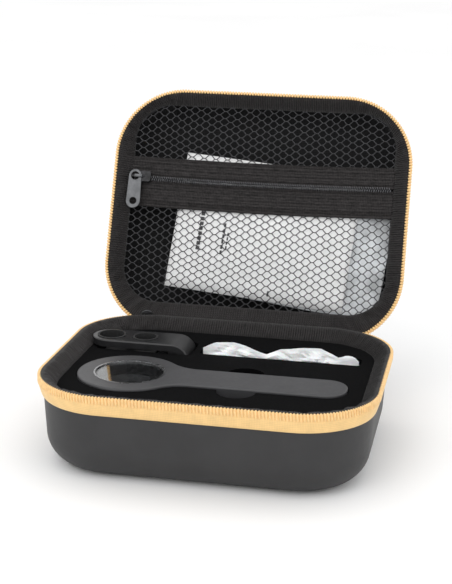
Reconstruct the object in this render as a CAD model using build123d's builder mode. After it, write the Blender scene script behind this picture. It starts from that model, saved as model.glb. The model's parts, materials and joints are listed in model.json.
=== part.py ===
"""Zip-around moulded case, open, with a hand-held skin magnifier, a phone clip and a pouch.

The frame's origin is the middle of the case's flat bottom, +X to the right, +Y to the hinge
at the back, +Z up. The lid is drawn standing open, as it rests. Sizes are in millimetres.
"""
import os
from math import atan, cos, degrees, radians, sin

from build123d import *

os.makedirs("parts", exist_ok=True)

# ------------------------------------------------------------------ case: driving sizes
case_width = 200.0        # over the zip tape, left to right
case_depth = 164.0        # over the zip tape, front to back
corner_radius = 46.0      # plan corner over the zip tape
base_height = 53.0        # floor to the rim plane, where the two halves meet
lid_height = 30.0         # rim plane to the lid's flat top
shell_wall = 2.5          # moulded hard foam shell
shell_inset = 4.0         # shell's outer face at the zip's lower edge, in from the rim
shell_draft = 3.5         # degrees that each wall leans in
base_edge = 19.0          # big radius between the base's wall and its floor
lid_edge = 15.0           # and between the lid's wall and its top
lining_thickness = 0.6    # fabric bonded inside the shells
zip_band = 12.0           # height of one half of the zip: tape and teeth
teeth_height = 4.6        # the coil teeth at the rim
zip_thickness = 2.2       # tape and teeth, through the wall
tape_overhang = 0.5       # the tape stands out from the shell by this much
teeth_lean = 0.8          # the teeth lean in by this much from the rim to the tape
rim_gap = 0.15            # each half stops this far short of the rim plane
zip_end_angle = 60.0      # the zip ends this far round each back corner
open_angle = 112.0        # the lid rests open at this angle
hinge_inset = 4.6         # hinge axis, in from the back of the tape
hinge_drop = 5.5          # hinge axis, below the rim plane
hinge_cloth = 1.2         # thickness of the cloth strip that is the hinge

# ------------------------------------------------------------------ seam binding and pocket
binding_top_inset = 3.2   # inner edge of the ribbed binding at the rim
base_binding_inset = 11.0  # and where it meets the foam
foam_drop = 7.5           # foam's top face, below the rim plane
lid_binding_side = 12.5   # lid binding's inner edge at the net: sides
lid_binding_front = 10.5  # at the edge away from the hinge
lid_binding_hinge = 20.0  # at the hinge edge
net_corner = 20.0         # plan corner of the net's opening
net_drop = 6.5            # net's face, below the lid's rim plane
net_thickness = 0.8
net_margin = 6.0          # hidden edge of the net, sewn behind the binding
pocket_tape_thickness = 1.0
pocket_band_low = 84.6    # pocket zip's band, measured up from the hinge edge
pocket_band_high = 118.0
pocket_coil_up = 103.4
pocket_coil_width = 3.0
pocket_coil_thickness = 1.2
pocket_tape_gap = 1.0     # between the two tapes, under the coil

# ------------------------------------------------------------------ foam
foam_split = 11.5         # height where the floor layer ends and the cut layer starts
foam_clearance = 0.4      # round the outside of the foam and in its cut-outs
foam_floor_gap = 0.2      # under the floor layer
finger_x, finger_length, finger_width, finger_floor = 16.0, 53.0, 23.0, 25.0
clip_well_floor = 23.5

# ------------------------------------------------------------------ magnifier
tool_x, tool_y = -51.0, -18.5   # middle of the head
tool_stands_out = 1.5     # its top face, above the foam
head_radius = 31.0
handle_width = 28.6
handle_reach = 129.5      # middle of the head to the tip
handle_tip_radius = 12.6
neck_radius = 22.0
cover_height = 6.0        # upper cover
housing_height = 10.0     # lower housing
tool_wall = 2.0
window_radius = 20.2
bezel_wall = 1.0
window_gap = 0.12         # between the window and its bezel
barrel_wall = 2.2
eyepiece_depth = 10.0     # window to the barrel's shelf
objective_radius = 11.0
lens_bulge = 2.0
neck_tube_radius = 15.0   # barrel's tube below the housing
neck_tube_length = 9.0
focus_ring_radius = 24.0
focus_ring_height = 7.0
cone_radius = 18.9
cone_tip_radius = 14.0
cone_height = 13.0
running_gap = 0.05
led_count = 8
button_radius = 4.0
button_gap = 0.1
power_button_x, mode_button_x = -8.0, 6.0
screw_radius, boss_radius = 1.1, 2.6
socket_width, socket_height, socket_depth = 9.0, 3.4, 7.0
charge_light_radius, charge_light_side = 0.9, 7.2

# ------------------------------------------------------------------ phone clip
clip_y = 37.0
clip_stands_out = 5.5     # its top face, above the foam
clip_left, clip_right = -89.5, -25.0
clip_width = 24.0
clip_thickness = 4.4
clip_bend = 7.0           # inside radius of the turned-down end
clip_drop = 13.0          # length of the turned-down end
large_eye_x, large_eye_radius = -77.4, 9.0
small_eye_x, small_eye_radius = -55.6, 8.0
eye_liner = 1.2
jaw_gap = 6.0             # between the arms at rest
jaw_thickness = 3.0
jaw_width = 16.0
jaw_pin_x, jaw_pin_drop = -35.0, 13.0     # the drop is from the clip's top face
jaw_pin_radius = 1.5
jaw_barrel_radius = 3.4

# ------------------------------------------------------------------ leaflet and bag
leaflet_width, leaflet_height, leaflet_thickness = 120.0, 91.0, 0.8
leaflet_x, leaflet_up = 6.8, 71.8     # its middle: across, and up from the hinge edge
leaflet_depth = 1.7       # behind the net
leaflet_tilt = 5.0        # degrees
bag_width, bag_height, bag_thickness, bag_corner = 84.0, 62.0, 2.4, 10.0
bag_x, bag_up = 44.0, 51.0
bag_depth = 3.2           # behind the net

# ------------------------------------------------------------------ pouch
pouch_left, pouch_right = -18.0, 79.0
pouch_y = 35.5
pouch_thickness = 8.0
pouch_bottom = 19.0
slot_margin = 1.6         # pouch's slot is this much longer at each end
slot_side = 2.6           # and this much wider on each side

# ------------------------------------------------------------------ sliders and pulls
slider_length, slider_width, slider_height = 8.0, 7.0, 3.6
pull_length, pull_width, pull_thickness = 26.4, 8.6, 1.4
slider_corner = 1.6
pull_pin_radius = 0.8
pull_pin_reach = 5.0      # the pocket slider's pin stands out this far past its block
pull_barrel_wall = 0.9
pull_barrel_half = 2.4    # half the width of the pull's barrel
pull_top_hole, pull_top_hole_reach = 2.4, 7.0    # radius, and from the pin
pull_end_hole, pull_end_hole_inset = 2.4, 5.0    # radius, and from the pull's end
pocket_slider_x = -78.0
main_slider_ear = 1.2     # the ears that hold the main pull's pin
main_slider_angle = 105.0  # where the main slider is parked round the back left corner

# ------------------------------------------------------------------ heights that follow the base
foam_top = base_height - foam_drop
tool_top = foam_top + tool_stands_out
clip_top = foam_top + clip_stands_out
jaw_pin_z = clip_top - jaw_pin_drop

# ------------------------------------------------------------------ planes
# Each half is drawn on its own rim plane: local z goes into the half, local y to the hinge.
hinge_y = case_depth / 2 - hinge_inset
hinge_z = base_height - hinge_drop
turn = radians(open_angle)


def lid_point(y, z):
    """World y and z of a lid point given as if the lid were shut, z from the rim plane."""
    dy, dz = y - hinge_y, z + hinge_drop
    return hinge_y + dy * cos(turn) + dz * sin(turn), hinge_z - dy * sin(turn) + dz * cos(turn)


base_rim = Plane(origin=(0, 0, base_height), x_dir=(-1, 0, 0), z_dir=(0, 0, -1))
lid_rim = Plane(origin=(0, *lid_point(0, 0)), x_dir=(1, 0, 0), z_dir=(0, sin(turn), cos(turn)))
zip_end_x = case_width / 2 - corner_radius * (1 - cos(radians(zip_end_angle)))
binding_lean = degrees(atan((shell_inset - tape_overhang) / zip_band))


def lid_up(distance):
    """Local y on the lid's rim plane, from a distance measured up from its hinge edge."""
    return case_depth / 2 - distance


# ------------------------------------------------------------------ shared shapes
def outline(inset, mode=Mode.ADD):
    """The case's plan, drawn in by inset."""
    RectangleRounded(
        case_width - 2 * inset, case_depth - 2 * inset, corner_radius - inset, mode=mode
    )


def half_block(rim, inset, start, end, edge_radius):
    """Solid block of one half, leaning in, with a big round edge at its far face."""
    with BuildPart() as block:
        with BuildSketch(rim.offset(start)):
            outline(inset)
        extrude(amount=end - start, taper=shell_draft)
        far_face = block.faces().sort_by(Axis(rim.origin, rim.z_dir))[-1]
        fillet(far_face.edges(), edge_radius)
    return block.part


def half_skin(rim, height, edge_radius, inset, thickness):
    """Open tray one thickness deep inside a half: the shell itself, or its lining."""
    far = height - (inset - shell_inset)
    edge = edge_radius - (inset - shell_inset)
    with BuildPart() as skin:
        add(half_block(rim, inset, zip_band, far, edge))
        inner = half_block(rim, inset + thickness, zip_band, far - thickness, edge - thickness)
        add(inner, mode=Mode.SUBTRACT)
    return skin.part


def rim_ring(rim, start, end, inset, lean):
    """Band of the zip round the front and sides, stopping in both back corners.

    Its outer face starts at inset and leans in by lean.
    """
    angle = degrees(atan(lean / (end - start)))
    with BuildPart() as ring:
        with BuildSketch(rim.offset(start)):
            outline(inset)
        extrude(amount=end - start, taper=angle)
        with BuildSketch(rim.offset(start)):
            outline(inset + zip_thickness)
        extrude(amount=end - start, taper=angle, mode=Mode.SUBTRACT)
        with BuildSketch(rim.offset(start)):
            with Locations((0, case_depth / 2)):
                Rectangle(2 * zip_end_x, case_depth)
        extrude(amount=end - start, mode=Mode.SUBTRACT)
    return ring.part


def seam_binding(rim, depth, side, front, back, inner_corner):
    """Ribbed binding that slopes from the rim's inner edge in to the net or the foam."""
    with BuildPart() as band:
        with BuildSketch(rim.offset(rim_gap)):
            outline(zip_thickness + running_gap)
        extrude(amount=depth - rim_gap, taper=binding_lean)
        with BuildSketch(rim.offset(rim_gap)):
            outline(binding_top_inset)
        with BuildSketch(rim.offset(depth)):
            with Locations((0, (front - back) / 2)):
                RectangleRounded(
                    case_width - 2 * side, case_depth - front - back, inner_corner
                )
        loft(mode=Mode.SUBTRACT)
        cloth_face = hinge_y - hinge_cloth / 2 - running_gap
        cut = Plane(rim.from_local_coords((0, cloth_face, 0)), z_dir=rim.y_dir)
        split(bisect_by=cut, keep=Keep.BOTTOM)
    return band.part


def disc(x, y, bottom, top, radius, bore=0.0):
    """Upright disc, or a ring if it has a bore."""
    with BuildPart() as piece:
        with BuildSketch(Plane.XY.offset(bottom)):
            with Locations((x, y)):
                Circle(radius)
                if bore > 0:
                    Circle(bore, mode=Mode.SUBTRACT)
        extrude(amount=top - bottom)
    return piece.part


def finish(part, name):
    """Label a piece and write it."""
    part.label = name
    export_step(part, f"parts/{name}.step")


# ------------------------------------------------------------------ base of the case
lining_inset = shell_inset + shell_wall
tape_lean = shell_inset - tape_overhang - teeth_lean
with BuildPart() as base_shell:
    add(half_skin(base_rim, base_height, base_edge, shell_inset, shell_wall))
with BuildPart() as base_lining:
    add(half_skin(base_rim, base_height, base_edge, lining_inset, lining_thickness))
with BuildPart() as base_zip_tape:
    add(rim_ring(base_rim, teeth_height, zip_band, teeth_lean, tape_lean))
with BuildPart() as base_zip_teeth:
    add(rim_ring(base_rim, rim_gap, teeth_height, 0, teeth_lean))
with BuildPart() as base_binding:
    add(seam_binding(base_rim, foam_drop, base_binding_inset, base_binding_inset,
                     base_binding_inset, corner_radius - base_binding_inset))

# ------------------------------------------------------------------ lid
with BuildPart() as lid_shell:
    add(half_skin(lid_rim, lid_height, lid_edge, shell_inset, shell_wall))
with BuildPart() as lid_lining:
    add(half_skin(lid_rim, lid_height, lid_edge, lining_inset, lining_thickness))
with BuildPart() as lid_zip_tape:
    add(rim_ring(lid_rim, teeth_height, zip_band, teeth_lean, tape_lean))
with BuildPart() as lid_zip_teeth:
    add(rim_ring(lid_rim, rim_gap, teeth_height, 0, teeth_lean))

# The binding leaves room at both ends of the hinge for the parked slider.
slider_room_x = case_width / 2 - corner_radius + 2
slider_room_y = hinge_y - 9.5
with BuildPart() as lid_binding:
    add(seam_binding(lid_rim, net_drop, lid_binding_side, lid_binding_front,
                     lid_binding_hinge, net_corner))
    with BuildSketch(lid_rim):
        for side in (-1, 1):
            with Locations((side * (slider_room_x + case_width / 4), slider_room_y)):
                Rectangle(
                    case_width / 2, case_depth, align=(Align.CENTER, Align.MIN)
                )
    extrude(amount=net_drop, mode=Mode.SUBTRACT)

# Cloth hinge: it stands on the base shell's edge, folds over and meets the lid shell's edge.
cloth_y = hinge_y
cloth_half_width = case_width / 2 - corner_radius + 4
with BuildPart() as hinge_fabric:
    with BuildSketch(Plane.YZ.offset(-cloth_half_width)):
        with BuildLine() as cloth_line:
            FilletPolyline(
                (cloth_y, base_height - zip_band),
                (cloth_y, base_height - zip_band + 2.6),
                lid_point(cloth_y, zip_band / 4),
                lid_point(cloth_y, zip_band),
                radius=[1.4, 2.0],
            )
        trace(line_width=hinge_cloth)
    extrude(amount=2 * cloth_half_width)

# ------------------------------------------------------------------ net pocket in the lid
tape_start = net_drop - pocket_tape_thickness
coil_start = tape_start - pocket_coil_thickness
coil_y = lid_up(pocket_coil_up)


def net_panel(low, high):
    """Net between two distances up from the hinge edge."""
    with BuildPart() as panel:
        with BuildSketch(lid_rim.offset(net_drop)):
            outline(net_margin)
            with Locations((0, (lid_up(low) + lid_up(high)) / 2)):
                Rectangle(case_width, high - low, mode=Mode.INTERSECT)
        extrude(amount=net_thickness)
    return panel.part


def pocket_strip(low, high, start, thickness):
    """Straight strip across the lid, for the pocket's zip."""
    half = case_width / 2 - lid_binding_side - foam_clearance / 4
    with BuildPart() as strip:
        with BuildSketch(lid_rim.offset(start)):
            with Locations((0, (lid_up(low) + lid_up(high)) / 2)):
                Rectangle(2 * half, high - low)
        extrude(amount=thickness)
    return strip.part


with BuildPart() as pocket_net_lower:
    add(net_panel(lid_binding_hinge - net_margin, pocket_band_low + net_margin))
with BuildPart() as pocket_net_upper:
    add(net_panel(pocket_band_high - net_margin, case_depth))
with BuildPart() as pocket_tape_lower:
    add(pocket_strip(pocket_band_low, pocket_coil_up - pocket_tape_gap / 2, tape_start,
                     pocket_tape_thickness))
with BuildPart() as pocket_tape_upper:
    add(pocket_strip(pocket_coil_up + pocket_tape_gap / 2, pocket_band_high, tape_start,
                     pocket_tape_thickness))
with BuildPart() as pocket_zip_coil:
    add(pocket_strip(pocket_coil_up - pocket_coil_width / 2, pocket_coil_up + pocket_coil_width / 2,
                     coil_start, pocket_coil_thickness))

# Slider of the pocket's zip: a block with a channel over the coil, and a pin for its pull.
slider_start = tape_start - running_gap - slider_height
pull_pin_z = slider_start + 0.2
with BuildPart() as pocket_slider_body:
    with BuildSketch(lid_rim.offset(slider_start)):
        with Locations((pocket_slider_x, coil_y)):
            RectangleRounded(slider_length, slider_width, slider_corner)
    extrude(amount=slider_height)
    with BuildSketch(lid_rim.offset(coil_start - running_gap)):
        with Locations((pocket_slider_x, coil_y)):
            Rectangle(slider_length, pocket_coil_width + 0.4)
    extrude(amount=slider_height, mode=Mode.SUBTRACT)
    pin_plane = Plane(
        lid_rim.from_local_coords((pocket_slider_x, coil_y, pull_pin_z)), z_dir=-lid_rim.x_dir
    )
    with BuildSketch(pin_plane):
        Circle(pull_pin_radius)
    extrude(amount=slider_length / 2 + pull_pin_reach)


def pull_tab(rim, x, y, z, reach_sign):
    """Flat pull with round ends, a barrel at its top and two round holes; y is its pin."""
    barrel = pull_pin_radius + running_gap + pull_barrel_wall
    length = pull_length - barrel
    with BuildPart() as tab:
        with BuildSketch(rim.offset(z - pull_thickness / 2)):
            with Locations((x, y + reach_sign * length / 2)):
                SlotOverall(length, pull_width, rotation=90)
            with Locations((x, y + reach_sign * (length - pull_end_hole_inset))):
                Circle(pull_end_hole, mode=Mode.SUBTRACT)
            with Locations((x, y + reach_sign * pull_top_hole_reach)):
                Circle(pull_top_hole, mode=Mode.SUBTRACT)
        extrude(amount=pull_thickness)
        side = Plane(rim.from_local_coords((x, y, z)), z_dir=rim.x_dir)
        with BuildSketch(side):
            Circle(barrel)
        extrude(amount=pull_barrel_half, both=True)
        with BuildSketch(side):
            Circle(pull_pin_radius + running_gap)
        extrude(amount=pull_width, both=True, mode=Mode.SUBTRACT)
        # The tab's shoulders beside the barrel stand clear of the slider.
        with BuildSketch(rim.offset(z - barrel)):
            for corner in (-1, 1):
                with Locations((x + corner * (pull_barrel_half + pull_width / 2), y)):
                    Rectangle(pull_width, slider_width + 1.0)
        extrude(amount=2 * barrel, mode=Mode.SUBTRACT)
    return tab.part


pull_x = pocket_slider_x - slider_length / 2 - pull_pin_reach / 2
with BuildPart() as pocket_pull_tab:
    add(pull_tab(lid_rim, pull_x, coil_y, pull_pin_z, 1))

# Folded leaflet and a flat bag with a cloth behind the net.
with BuildPart() as leaflet:
    with BuildSketch(lid_rim.offset(net_drop + net_thickness + leaflet_depth)):
        with Locations(Location((leaflet_x, lid_up(leaflet_up), 0), (0, 0, leaflet_tilt))):
            Rectangle(leaflet_width, leaflet_height)
    extrude(amount=leaflet_thickness)
with BuildPart() as cloth_bag:
    with BuildSketch(lid_rim.offset(net_drop + net_thickness + bag_depth)):
        with Locations((bag_x, lid_up(bag_up))):
            RectangleRounded(bag_width, bag_height, bag_corner)
    extrude(amount=bag_thickness)

# ------------------------------------------------------------------ foam in the base
foam_inset = lining_inset + lining_thickness + foam_clearance
foam_bottom = shell_wall + lining_thickness + foam_floor_gap
foam_edge = base_edge - shell_wall - lining_thickness
housing_top = tool_top - cover_height
housing_bottom = housing_top - housing_height
cone_bottom = housing_bottom - 1.0 - cone_height


def foam_block():
    """The space inside the lining that the two foam layers share."""
    return half_block(base_rim, foam_inset, foam_drop, base_height - foam_bottom, foam_edge)


def tool_outline(grow):
    """Plan of the magnifier: round head, flared neck and straight handle, with a round tip."""
    half_width = handle_width / 2 + grow
    radius = head_radius + grow
    meet = tool_x + (radius**2 - half_width**2) ** 0.5
    with BuildSketch(Plane.XY, mode=Mode.PRIVATE) as plan:
        with Locations((tool_x, tool_y)):
            Circle(radius)
        with Locations((tool_x + (handle_reach + grow) / 2, tool_y)):
            RectangleRounded(handle_reach + grow, 2 * half_width, handle_tip_radius + grow)
        corners = plan.vertices().filter_by_position(Axis.X, meet - 0.5, meet + 0.5)
        fillet(corners, neck_radius)
    return plan.sketch


with BuildPart() as foam_floor:
    add(foam_block())
    split(bisect_by=Plane.XY.offset(foam_split), keep=Keep.BOTTOM)

clip_well_left, clip_well_right = clip_left + 5.0, clip_right + 1.5
with BuildPart() as foam_insert:
    add(foam_block())
    split(bisect_by=Plane.XY.offset(foam_split), keep=Keep.TOP)
    with BuildSketch(Plane.XY.offset(housing_bottom - foam_clearance)):
        add(tool_outline(foam_clearance))
    extrude(amount=foam_top, mode=Mode.SUBTRACT)
    with BuildSketch(Plane.XY.offset(foam_split)):
        with Locations((tool_x, tool_y)):
            Circle(focus_ring_radius + 1.5)
    extrude(amount=foam_top, mode=Mode.SUBTRACT)
    with BuildSketch(Plane.XY.offset(finger_floor)):
        with Locations((finger_x, tool_y)):
            SlotOverall(finger_length, finger_width, rotation=90)
    extrude(amount=foam_top, mode=Mode.SUBTRACT)
    with BuildSketch(Plane.XY.offset(clip_well_floor)):
        with Locations(((clip_well_left + clip_well_right) / 2, clip_y)):
            RectangleRounded(clip_well_right - clip_well_left, clip_width + 2, 4)
    extrude(amount=foam_top, mode=Mode.SUBTRACT)
    with BuildSketch(Plane.XY.offset(pouch_bottom - foam_clearance)):
        with Locations(((pouch_left + pouch_right) / 2, pouch_y)):
            RectangleRounded(
                pouch_right - pouch_left + 2 * slot_margin, pouch_thickness + 2 * slot_side, 3
            )
    extrude(amount=foam_top, mode=Mode.SUBTRACT)

# ------------------------------------------------------------------ magnifier
collar_radius = window_radius + bezel_wall + tool_wall
with BuildPart() as top_cover:
    with BuildSketch(Plane.XY.offset(housing_top)):
        add(tool_outline(0))
    extrude(amount=cover_height)
    fillet(top_cover.faces().sort_by(Axis.Z)[-1].edges(), 1.2)
    with BuildSketch(Plane.XY.offset(housing_top)):
        add(tool_outline(-tool_wall))
        with Locations((tool_x, tool_y)):
            Circle(collar_radius, mode=Mode.SUBTRACT)
    extrude(amount=cover_height - tool_wall, mode=Mode.SUBTRACT)
    with BuildSketch(Plane.XY.offset(housing_top)):
        with Locations((tool_x, tool_y)):
            Circle(window_radius + bezel_wall)
    extrude(amount=cover_height, mode=Mode.SUBTRACT)

with BuildPart() as eyepiece_bezel:
    add(disc(tool_x, tool_y, tool_top - 3.0, tool_top + 0.2, window_radius + bezel_wall, window_radius))
with BuildPart() as eyepiece_window:
    add(disc(tool_x, tool_y, tool_top - 2.0, tool_top - 0.5, window_radius - window_gap))

# Power and mode buttons, the charging socket and its light are on the handle's under side.
tip_x = tool_x + handle_reach
screw_sites = [(tool_x + 26.0, tool_y + 9.5), (tool_x + 26.0, tool_y - 9.5),
               (tip_x - 12.5, tool_y + 8.0), (tip_x - 12.5, tool_y - 8.0)]
socket_z = housing_bottom + housing_height / 2
with BuildPart() as lower_housing:
    with BuildSketch(Plane.XY.offset(housing_bottom)):
        add(tool_outline(0))
    extrude(amount=housing_height)
    fillet(lower_housing.faces().sort_by(Axis.Z)[0].edges(), 2.5)
    with BuildSketch(Plane.XY.offset(housing_bottom + tool_wall)):
        add(tool_outline(-tool_wall))
    extrude(amount=housing_height, mode=Mode.SUBTRACT)
    with BuildSketch(Plane.XY.offset(housing_bottom)):
        with Locations(*screw_sites):
            Circle(boss_radius)
    extrude(amount=housing_height)
    with BuildSketch(Plane.XY.offset(housing_bottom)):
        with Locations(*screw_sites):
            Circle(screw_radius + running_gap)
    extrude(amount=housing_height, mode=Mode.SUBTRACT)
    with BuildSketch(Plane.XY.offset(housing_bottom)):
        with Locations(*screw_sites):
            Circle(2.0)
    extrude(amount=3.0, mode=Mode.SUBTRACT)
    with BuildSketch(Plane.XY.offset(housing_bottom)):
        with Locations((tool_x, tool_y)):
            Circle(neck_tube_radius)
        with Locations((power_button_x, tool_y), (mode_button_x, tool_y)):
            Circle(button_radius + button_gap)
    extrude(amount=tool_wall, mode=Mode.SUBTRACT)
    with BuildSketch(Plane.YZ.offset(tip_x - 2 * tool_wall)):
        with Locations((tool_y, socket_z)):
            RectangleRounded(socket_width, socket_height, 1.5)
    extrude(amount=3 * tool_wall, mode=Mode.SUBTRACT)
    with BuildSketch(Plane.YZ.offset(tip_x - 2 * tool_wall)):
        with Locations((tool_y + charge_light_side, socket_z)):
            Circle(charge_light_radius)
    extrude(amount=3 * tool_wall, mode=Mode.SUBTRACT)

with BuildPart() as charge_light:
    with BuildSketch(Plane.YZ.offset(tip_x - 4.2)):
        with Locations((tool_y + charge_light_side, socket_z)):
            Circle(charge_light_radius)
    extrude(amount=2.2)
with BuildPart() as charging_socket:
    with BuildSketch(Plane.YZ.offset(tip_x - 0.3 - socket_depth)):
        with Locations((tool_y, socket_z)):
            RectangleRounded(socket_width, socket_height, 1.5)
            RectangleRounded(socket_width - 0.8, socket_height - 0.8, 1.1, mode=Mode.SUBTRACT)
            RectangleRounded(socket_width - 2.4, 0.8, 0.3)
    extrude(amount=socket_depth)
with BuildPart() as housing_screws:
    with BuildSketch(Plane.XY.offset(housing_bottom + 3.0)):
        with Locations(*screw_sites):
            Circle(screw_radius)
    extrude(amount=housing_height - 3.0)
    with BuildSketch(Plane.XY.offset(housing_bottom + 1.6)):
        with Locations(*screw_sites):
            Circle(1.9)
    extrude(amount=1.4)

# Optics: stepped barrel under the window, objective, light ring and polariser.
shelf_z = tool_top - 2.0 - eyepiece_depth
tube_bottom = housing_bottom - neck_tube_length
with BuildPart() as lens_barrel:
    with BuildSketch(Plane.XZ.offset(-tool_y)):
        with BuildLine():
            Polyline(
                (tool_x + objective_radius, tube_bottom),
                (tool_x + neck_tube_radius, tube_bottom),
                (tool_x + neck_tube_radius, housing_bottom + tool_wall),
                (tool_x + window_radius, housing_bottom + tool_wall),
                (tool_x + window_radius, tool_top - 2.0),
                (tool_x + window_radius - barrel_wall / 2, tool_top - 2.0),
                (tool_x + window_radius - barrel_wall, shelf_z + 4.0),
                (tool_x + window_radius - 2 * barrel_wall, shelf_z + 4.0),
                (tool_x + window_radius - 3 * barrel_wall, shelf_z),
                (tool_x + objective_radius, shelf_z),
                close=True,
            )
        make_face()
    revolve(axis=Axis((tool_x, tool_y, 0), (0, 0, 1)))

with BuildPart() as objective_lens:
    lens_low, lens_high = tube_bottom + 4.6, tube_bottom + 6.6
    add(disc(tool_x, tool_y, lens_low - lens_bulge, lens_high + lens_bulge, objective_radius))
    lens_curve = (objective_radius**2 + lens_bulge**2) / (2 * lens_bulge)
    for centre in (lens_high + lens_bulge - lens_curve, lens_low - lens_bulge + lens_curve):
        with Locations((tool_x, tool_y, centre)):
            Sphere(lens_curve, mode=Mode.INTERSECT)
with BuildPart() as lens_retainer:
    add(disc(tool_x, tool_y, lens_high + 0.5, lens_high + 2.0, objective_radius,
             objective_radius - 1.2))

light_bore, light_rim = 7.5, cone_tip_radius - 0.5
with BuildPart() as light_board:
    add(disc(tool_x, tool_y, tube_bottom - 1.0, tube_bottom, light_rim, light_bore))
with BuildPart() as light_diodes:
    with BuildSketch(Plane.XY.offset(tube_bottom - 1.8)):
        with Locations((tool_x, tool_y)):
            with PolarLocations((light_bore + light_rim) / 2, led_count):
                Rectangle(2.8, 2.2)
    extrude(amount=0.8)
with BuildPart() as polariser_ring:
    add(disc(tool_x, tool_y, tube_bottom - 2.4, tube_bottom - 1.8, light_rim, light_bore))

# Focus ring: turns round the cone, knurled outside.
ring_top = housing_bottom - 0.3
ring_bottom = ring_top - focus_ring_height
with BuildPart() as focus_ring:
    with BuildSketch(Plane.XY.offset(ring_bottom)):
        with Locations((tool_x, tool_y)):
            Circle(focus_ring_radius)
            Circle(cone_radius + running_gap, mode=Mode.SUBTRACT)
            with PolarLocations(focus_ring_radius, 36):
                Circle(0.6, mode=Mode.SUBTRACT)
    extrude(amount=focus_ring_height)

# Cone: slides on the barrel's tube as the ring turns; its plate touches the skin.
cone_top = housing_bottom - 1.0
cone_wall_bottom = cone_bottom + 4.0
plate_thickness = 1.6
with BuildPart() as contact_cone:
    with BuildSketch(Plane.XZ.offset(-tool_y)):
        with BuildLine():
            Polyline(
                (tool_x + neck_tube_radius + running_gap, cone_top),
                (tool_x + cone_radius, cone_top),
                (tool_x + cone_radius, cone_wall_bottom),
                (tool_x + cone_tip_radius + 1.5, cone_bottom),
                (tool_x + cone_tip_radius - 1.0, cone_bottom),
                (tool_x + cone_tip_radius - 1.0, cone_bottom + plate_thickness / 2),
                (tool_x + cone_tip_radius, cone_bottom + plate_thickness / 2),
                (tool_x + cone_tip_radius, cone_bottom + 2 * plate_thickness),
                (tool_x + neck_tube_radius + running_gap, cone_bottom + 2.5 * plate_thickness),
                close=True,
            )
        make_face()
    revolve(axis=Axis((tool_x, tool_y, 0), (0, 0, 1)))
with BuildPart() as contact_plate:
    plate_bottom = cone_bottom + plate_thickness / 2
    add(disc(tool_x, tool_y, plate_bottom, plate_bottom + plate_thickness, cone_tip_radius))

# Inside the handle: a flat cell and the board that carries the switches and the socket.
board_bottom = housing_bottom + tool_wall + 1.4
with BuildPart() as main_board:
    with BuildSketch(Plane.XY.offset(board_bottom)):
        with Locations(((power_button_x + tip_x) / 2 - 7.0, tool_y)):
            RectangleRounded(tip_x - power_button_x - 2.0, 10.0, 1.5)
    extrude(amount=1.0)
with BuildPart() as board_switches:
    with BuildSketch(Plane.XY.offset(board_bottom - 0.6)):
        with Locations((power_button_x, tool_y), (mode_button_x, tool_y)):
            Rectangle(4.5, 4.5)
    extrude(amount=0.6)
with BuildPart() as battery:
    with BuildSketch(Plane.XY.offset(board_bottom + 1.3)):
        with Locations((22.0, tool_y)):
            RectangleRounded(52.0, 22.0, 2.0)
    extrude(amount=7.0)


def button(x):
    """Round button in the handle's under side, with a flange that keeps it in."""
    with BuildPart() as piece:
        add(disc(x, tool_y, housing_bottom - 0.3, housing_bottom + tool_wall + 0.1, button_radius))
    return piece.part


with BuildPart() as power_button:
    add(button(power_button_x))
with BuildPart() as mode_button:
    add(button(mode_button_x))

# ------------------------------------------------------------------ phone clip
arm_mid = clip_top - clip_thickness / 2
web_mid = clip_right - clip_thickness / 2
arm_under = clip_top - clip_thickness
ear_thickness = 2.6
with BuildPart() as clip_upper_arm:
    with BuildSketch(Plane.XZ.offset(-(clip_y - clip_width / 2))):
        with BuildLine():
            FilletPolyline(
                (clip_left, arm_mid),
                (web_mid, arm_mid),
                (web_mid, arm_mid - clip_drop),
                radius=clip_bend + clip_thickness / 2,
            )
        trace(line_width=clip_thickness)
    extrude(amount=-clip_width)
    with BuildSketch(Plane.XY.offset(clip_top - 2 * clip_drop)):
        with Locations((clip_left + clip_width / 2, clip_y)):
            Circle(clip_width / 2)
        with Locations((clip_left + clip_width / 2, clip_y)):
            Rectangle(
                clip_right - clip_left, clip_width, align=(Align.MIN, Align.CENTER)
            )
    extrude(amount=3 * clip_drop, mode=Mode.INTERSECT)
    fillet(clip_upper_arm.faces().sort_by(Axis.Z)[-1].edges(), 1.0)
    # Ears for the jaw's pin, one on each side.
    for side in (-1, 1):
        ear_y = clip_y + side * (jaw_width / 2 + 0.4 + ear_thickness / 2)
        with BuildSketch(Plane.XZ.offset(-(ear_y - ear_thickness / 2))):
            with Locations((jaw_pin_x, jaw_pin_z)):
                Circle(jaw_barrel_radius)
                Rectangle(
                    2 * jaw_barrel_radius,
                    arm_under + 0.5 - jaw_pin_z,
                    align=(Align.CENTER, Align.MIN),
                )
                Circle(jaw_pin_radius, mode=Mode.SUBTRACT)
        extrude(amount=-ear_thickness)
    with BuildSketch(Plane.XY.offset(arm_under)):
        with Locations((large_eye_x, clip_y)):
            Circle(large_eye_radius)
        with Locations((small_eye_x, clip_y)):
            Circle(small_eye_radius)
    extrude(amount=clip_thickness, mode=Mode.SUBTRACT)

with BuildPart() as clip_eye_large:
    add(disc(large_eye_x, clip_y, arm_under, clip_top + 0.5, large_eye_radius,
             large_eye_radius - eye_liner))
with BuildPart() as clip_eye_small:
    add(disc(small_eye_x, clip_y, arm_under, clip_top + 0.5, small_eye_radius,
             small_eye_radius - eye_liner))
with BuildPart() as clip_pad_upper:
    add(disc(small_eye_x, clip_y, arm_under - 1.2, arm_under, small_eye_radius + 3.0,
             small_eye_radius - eye_liner))

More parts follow.
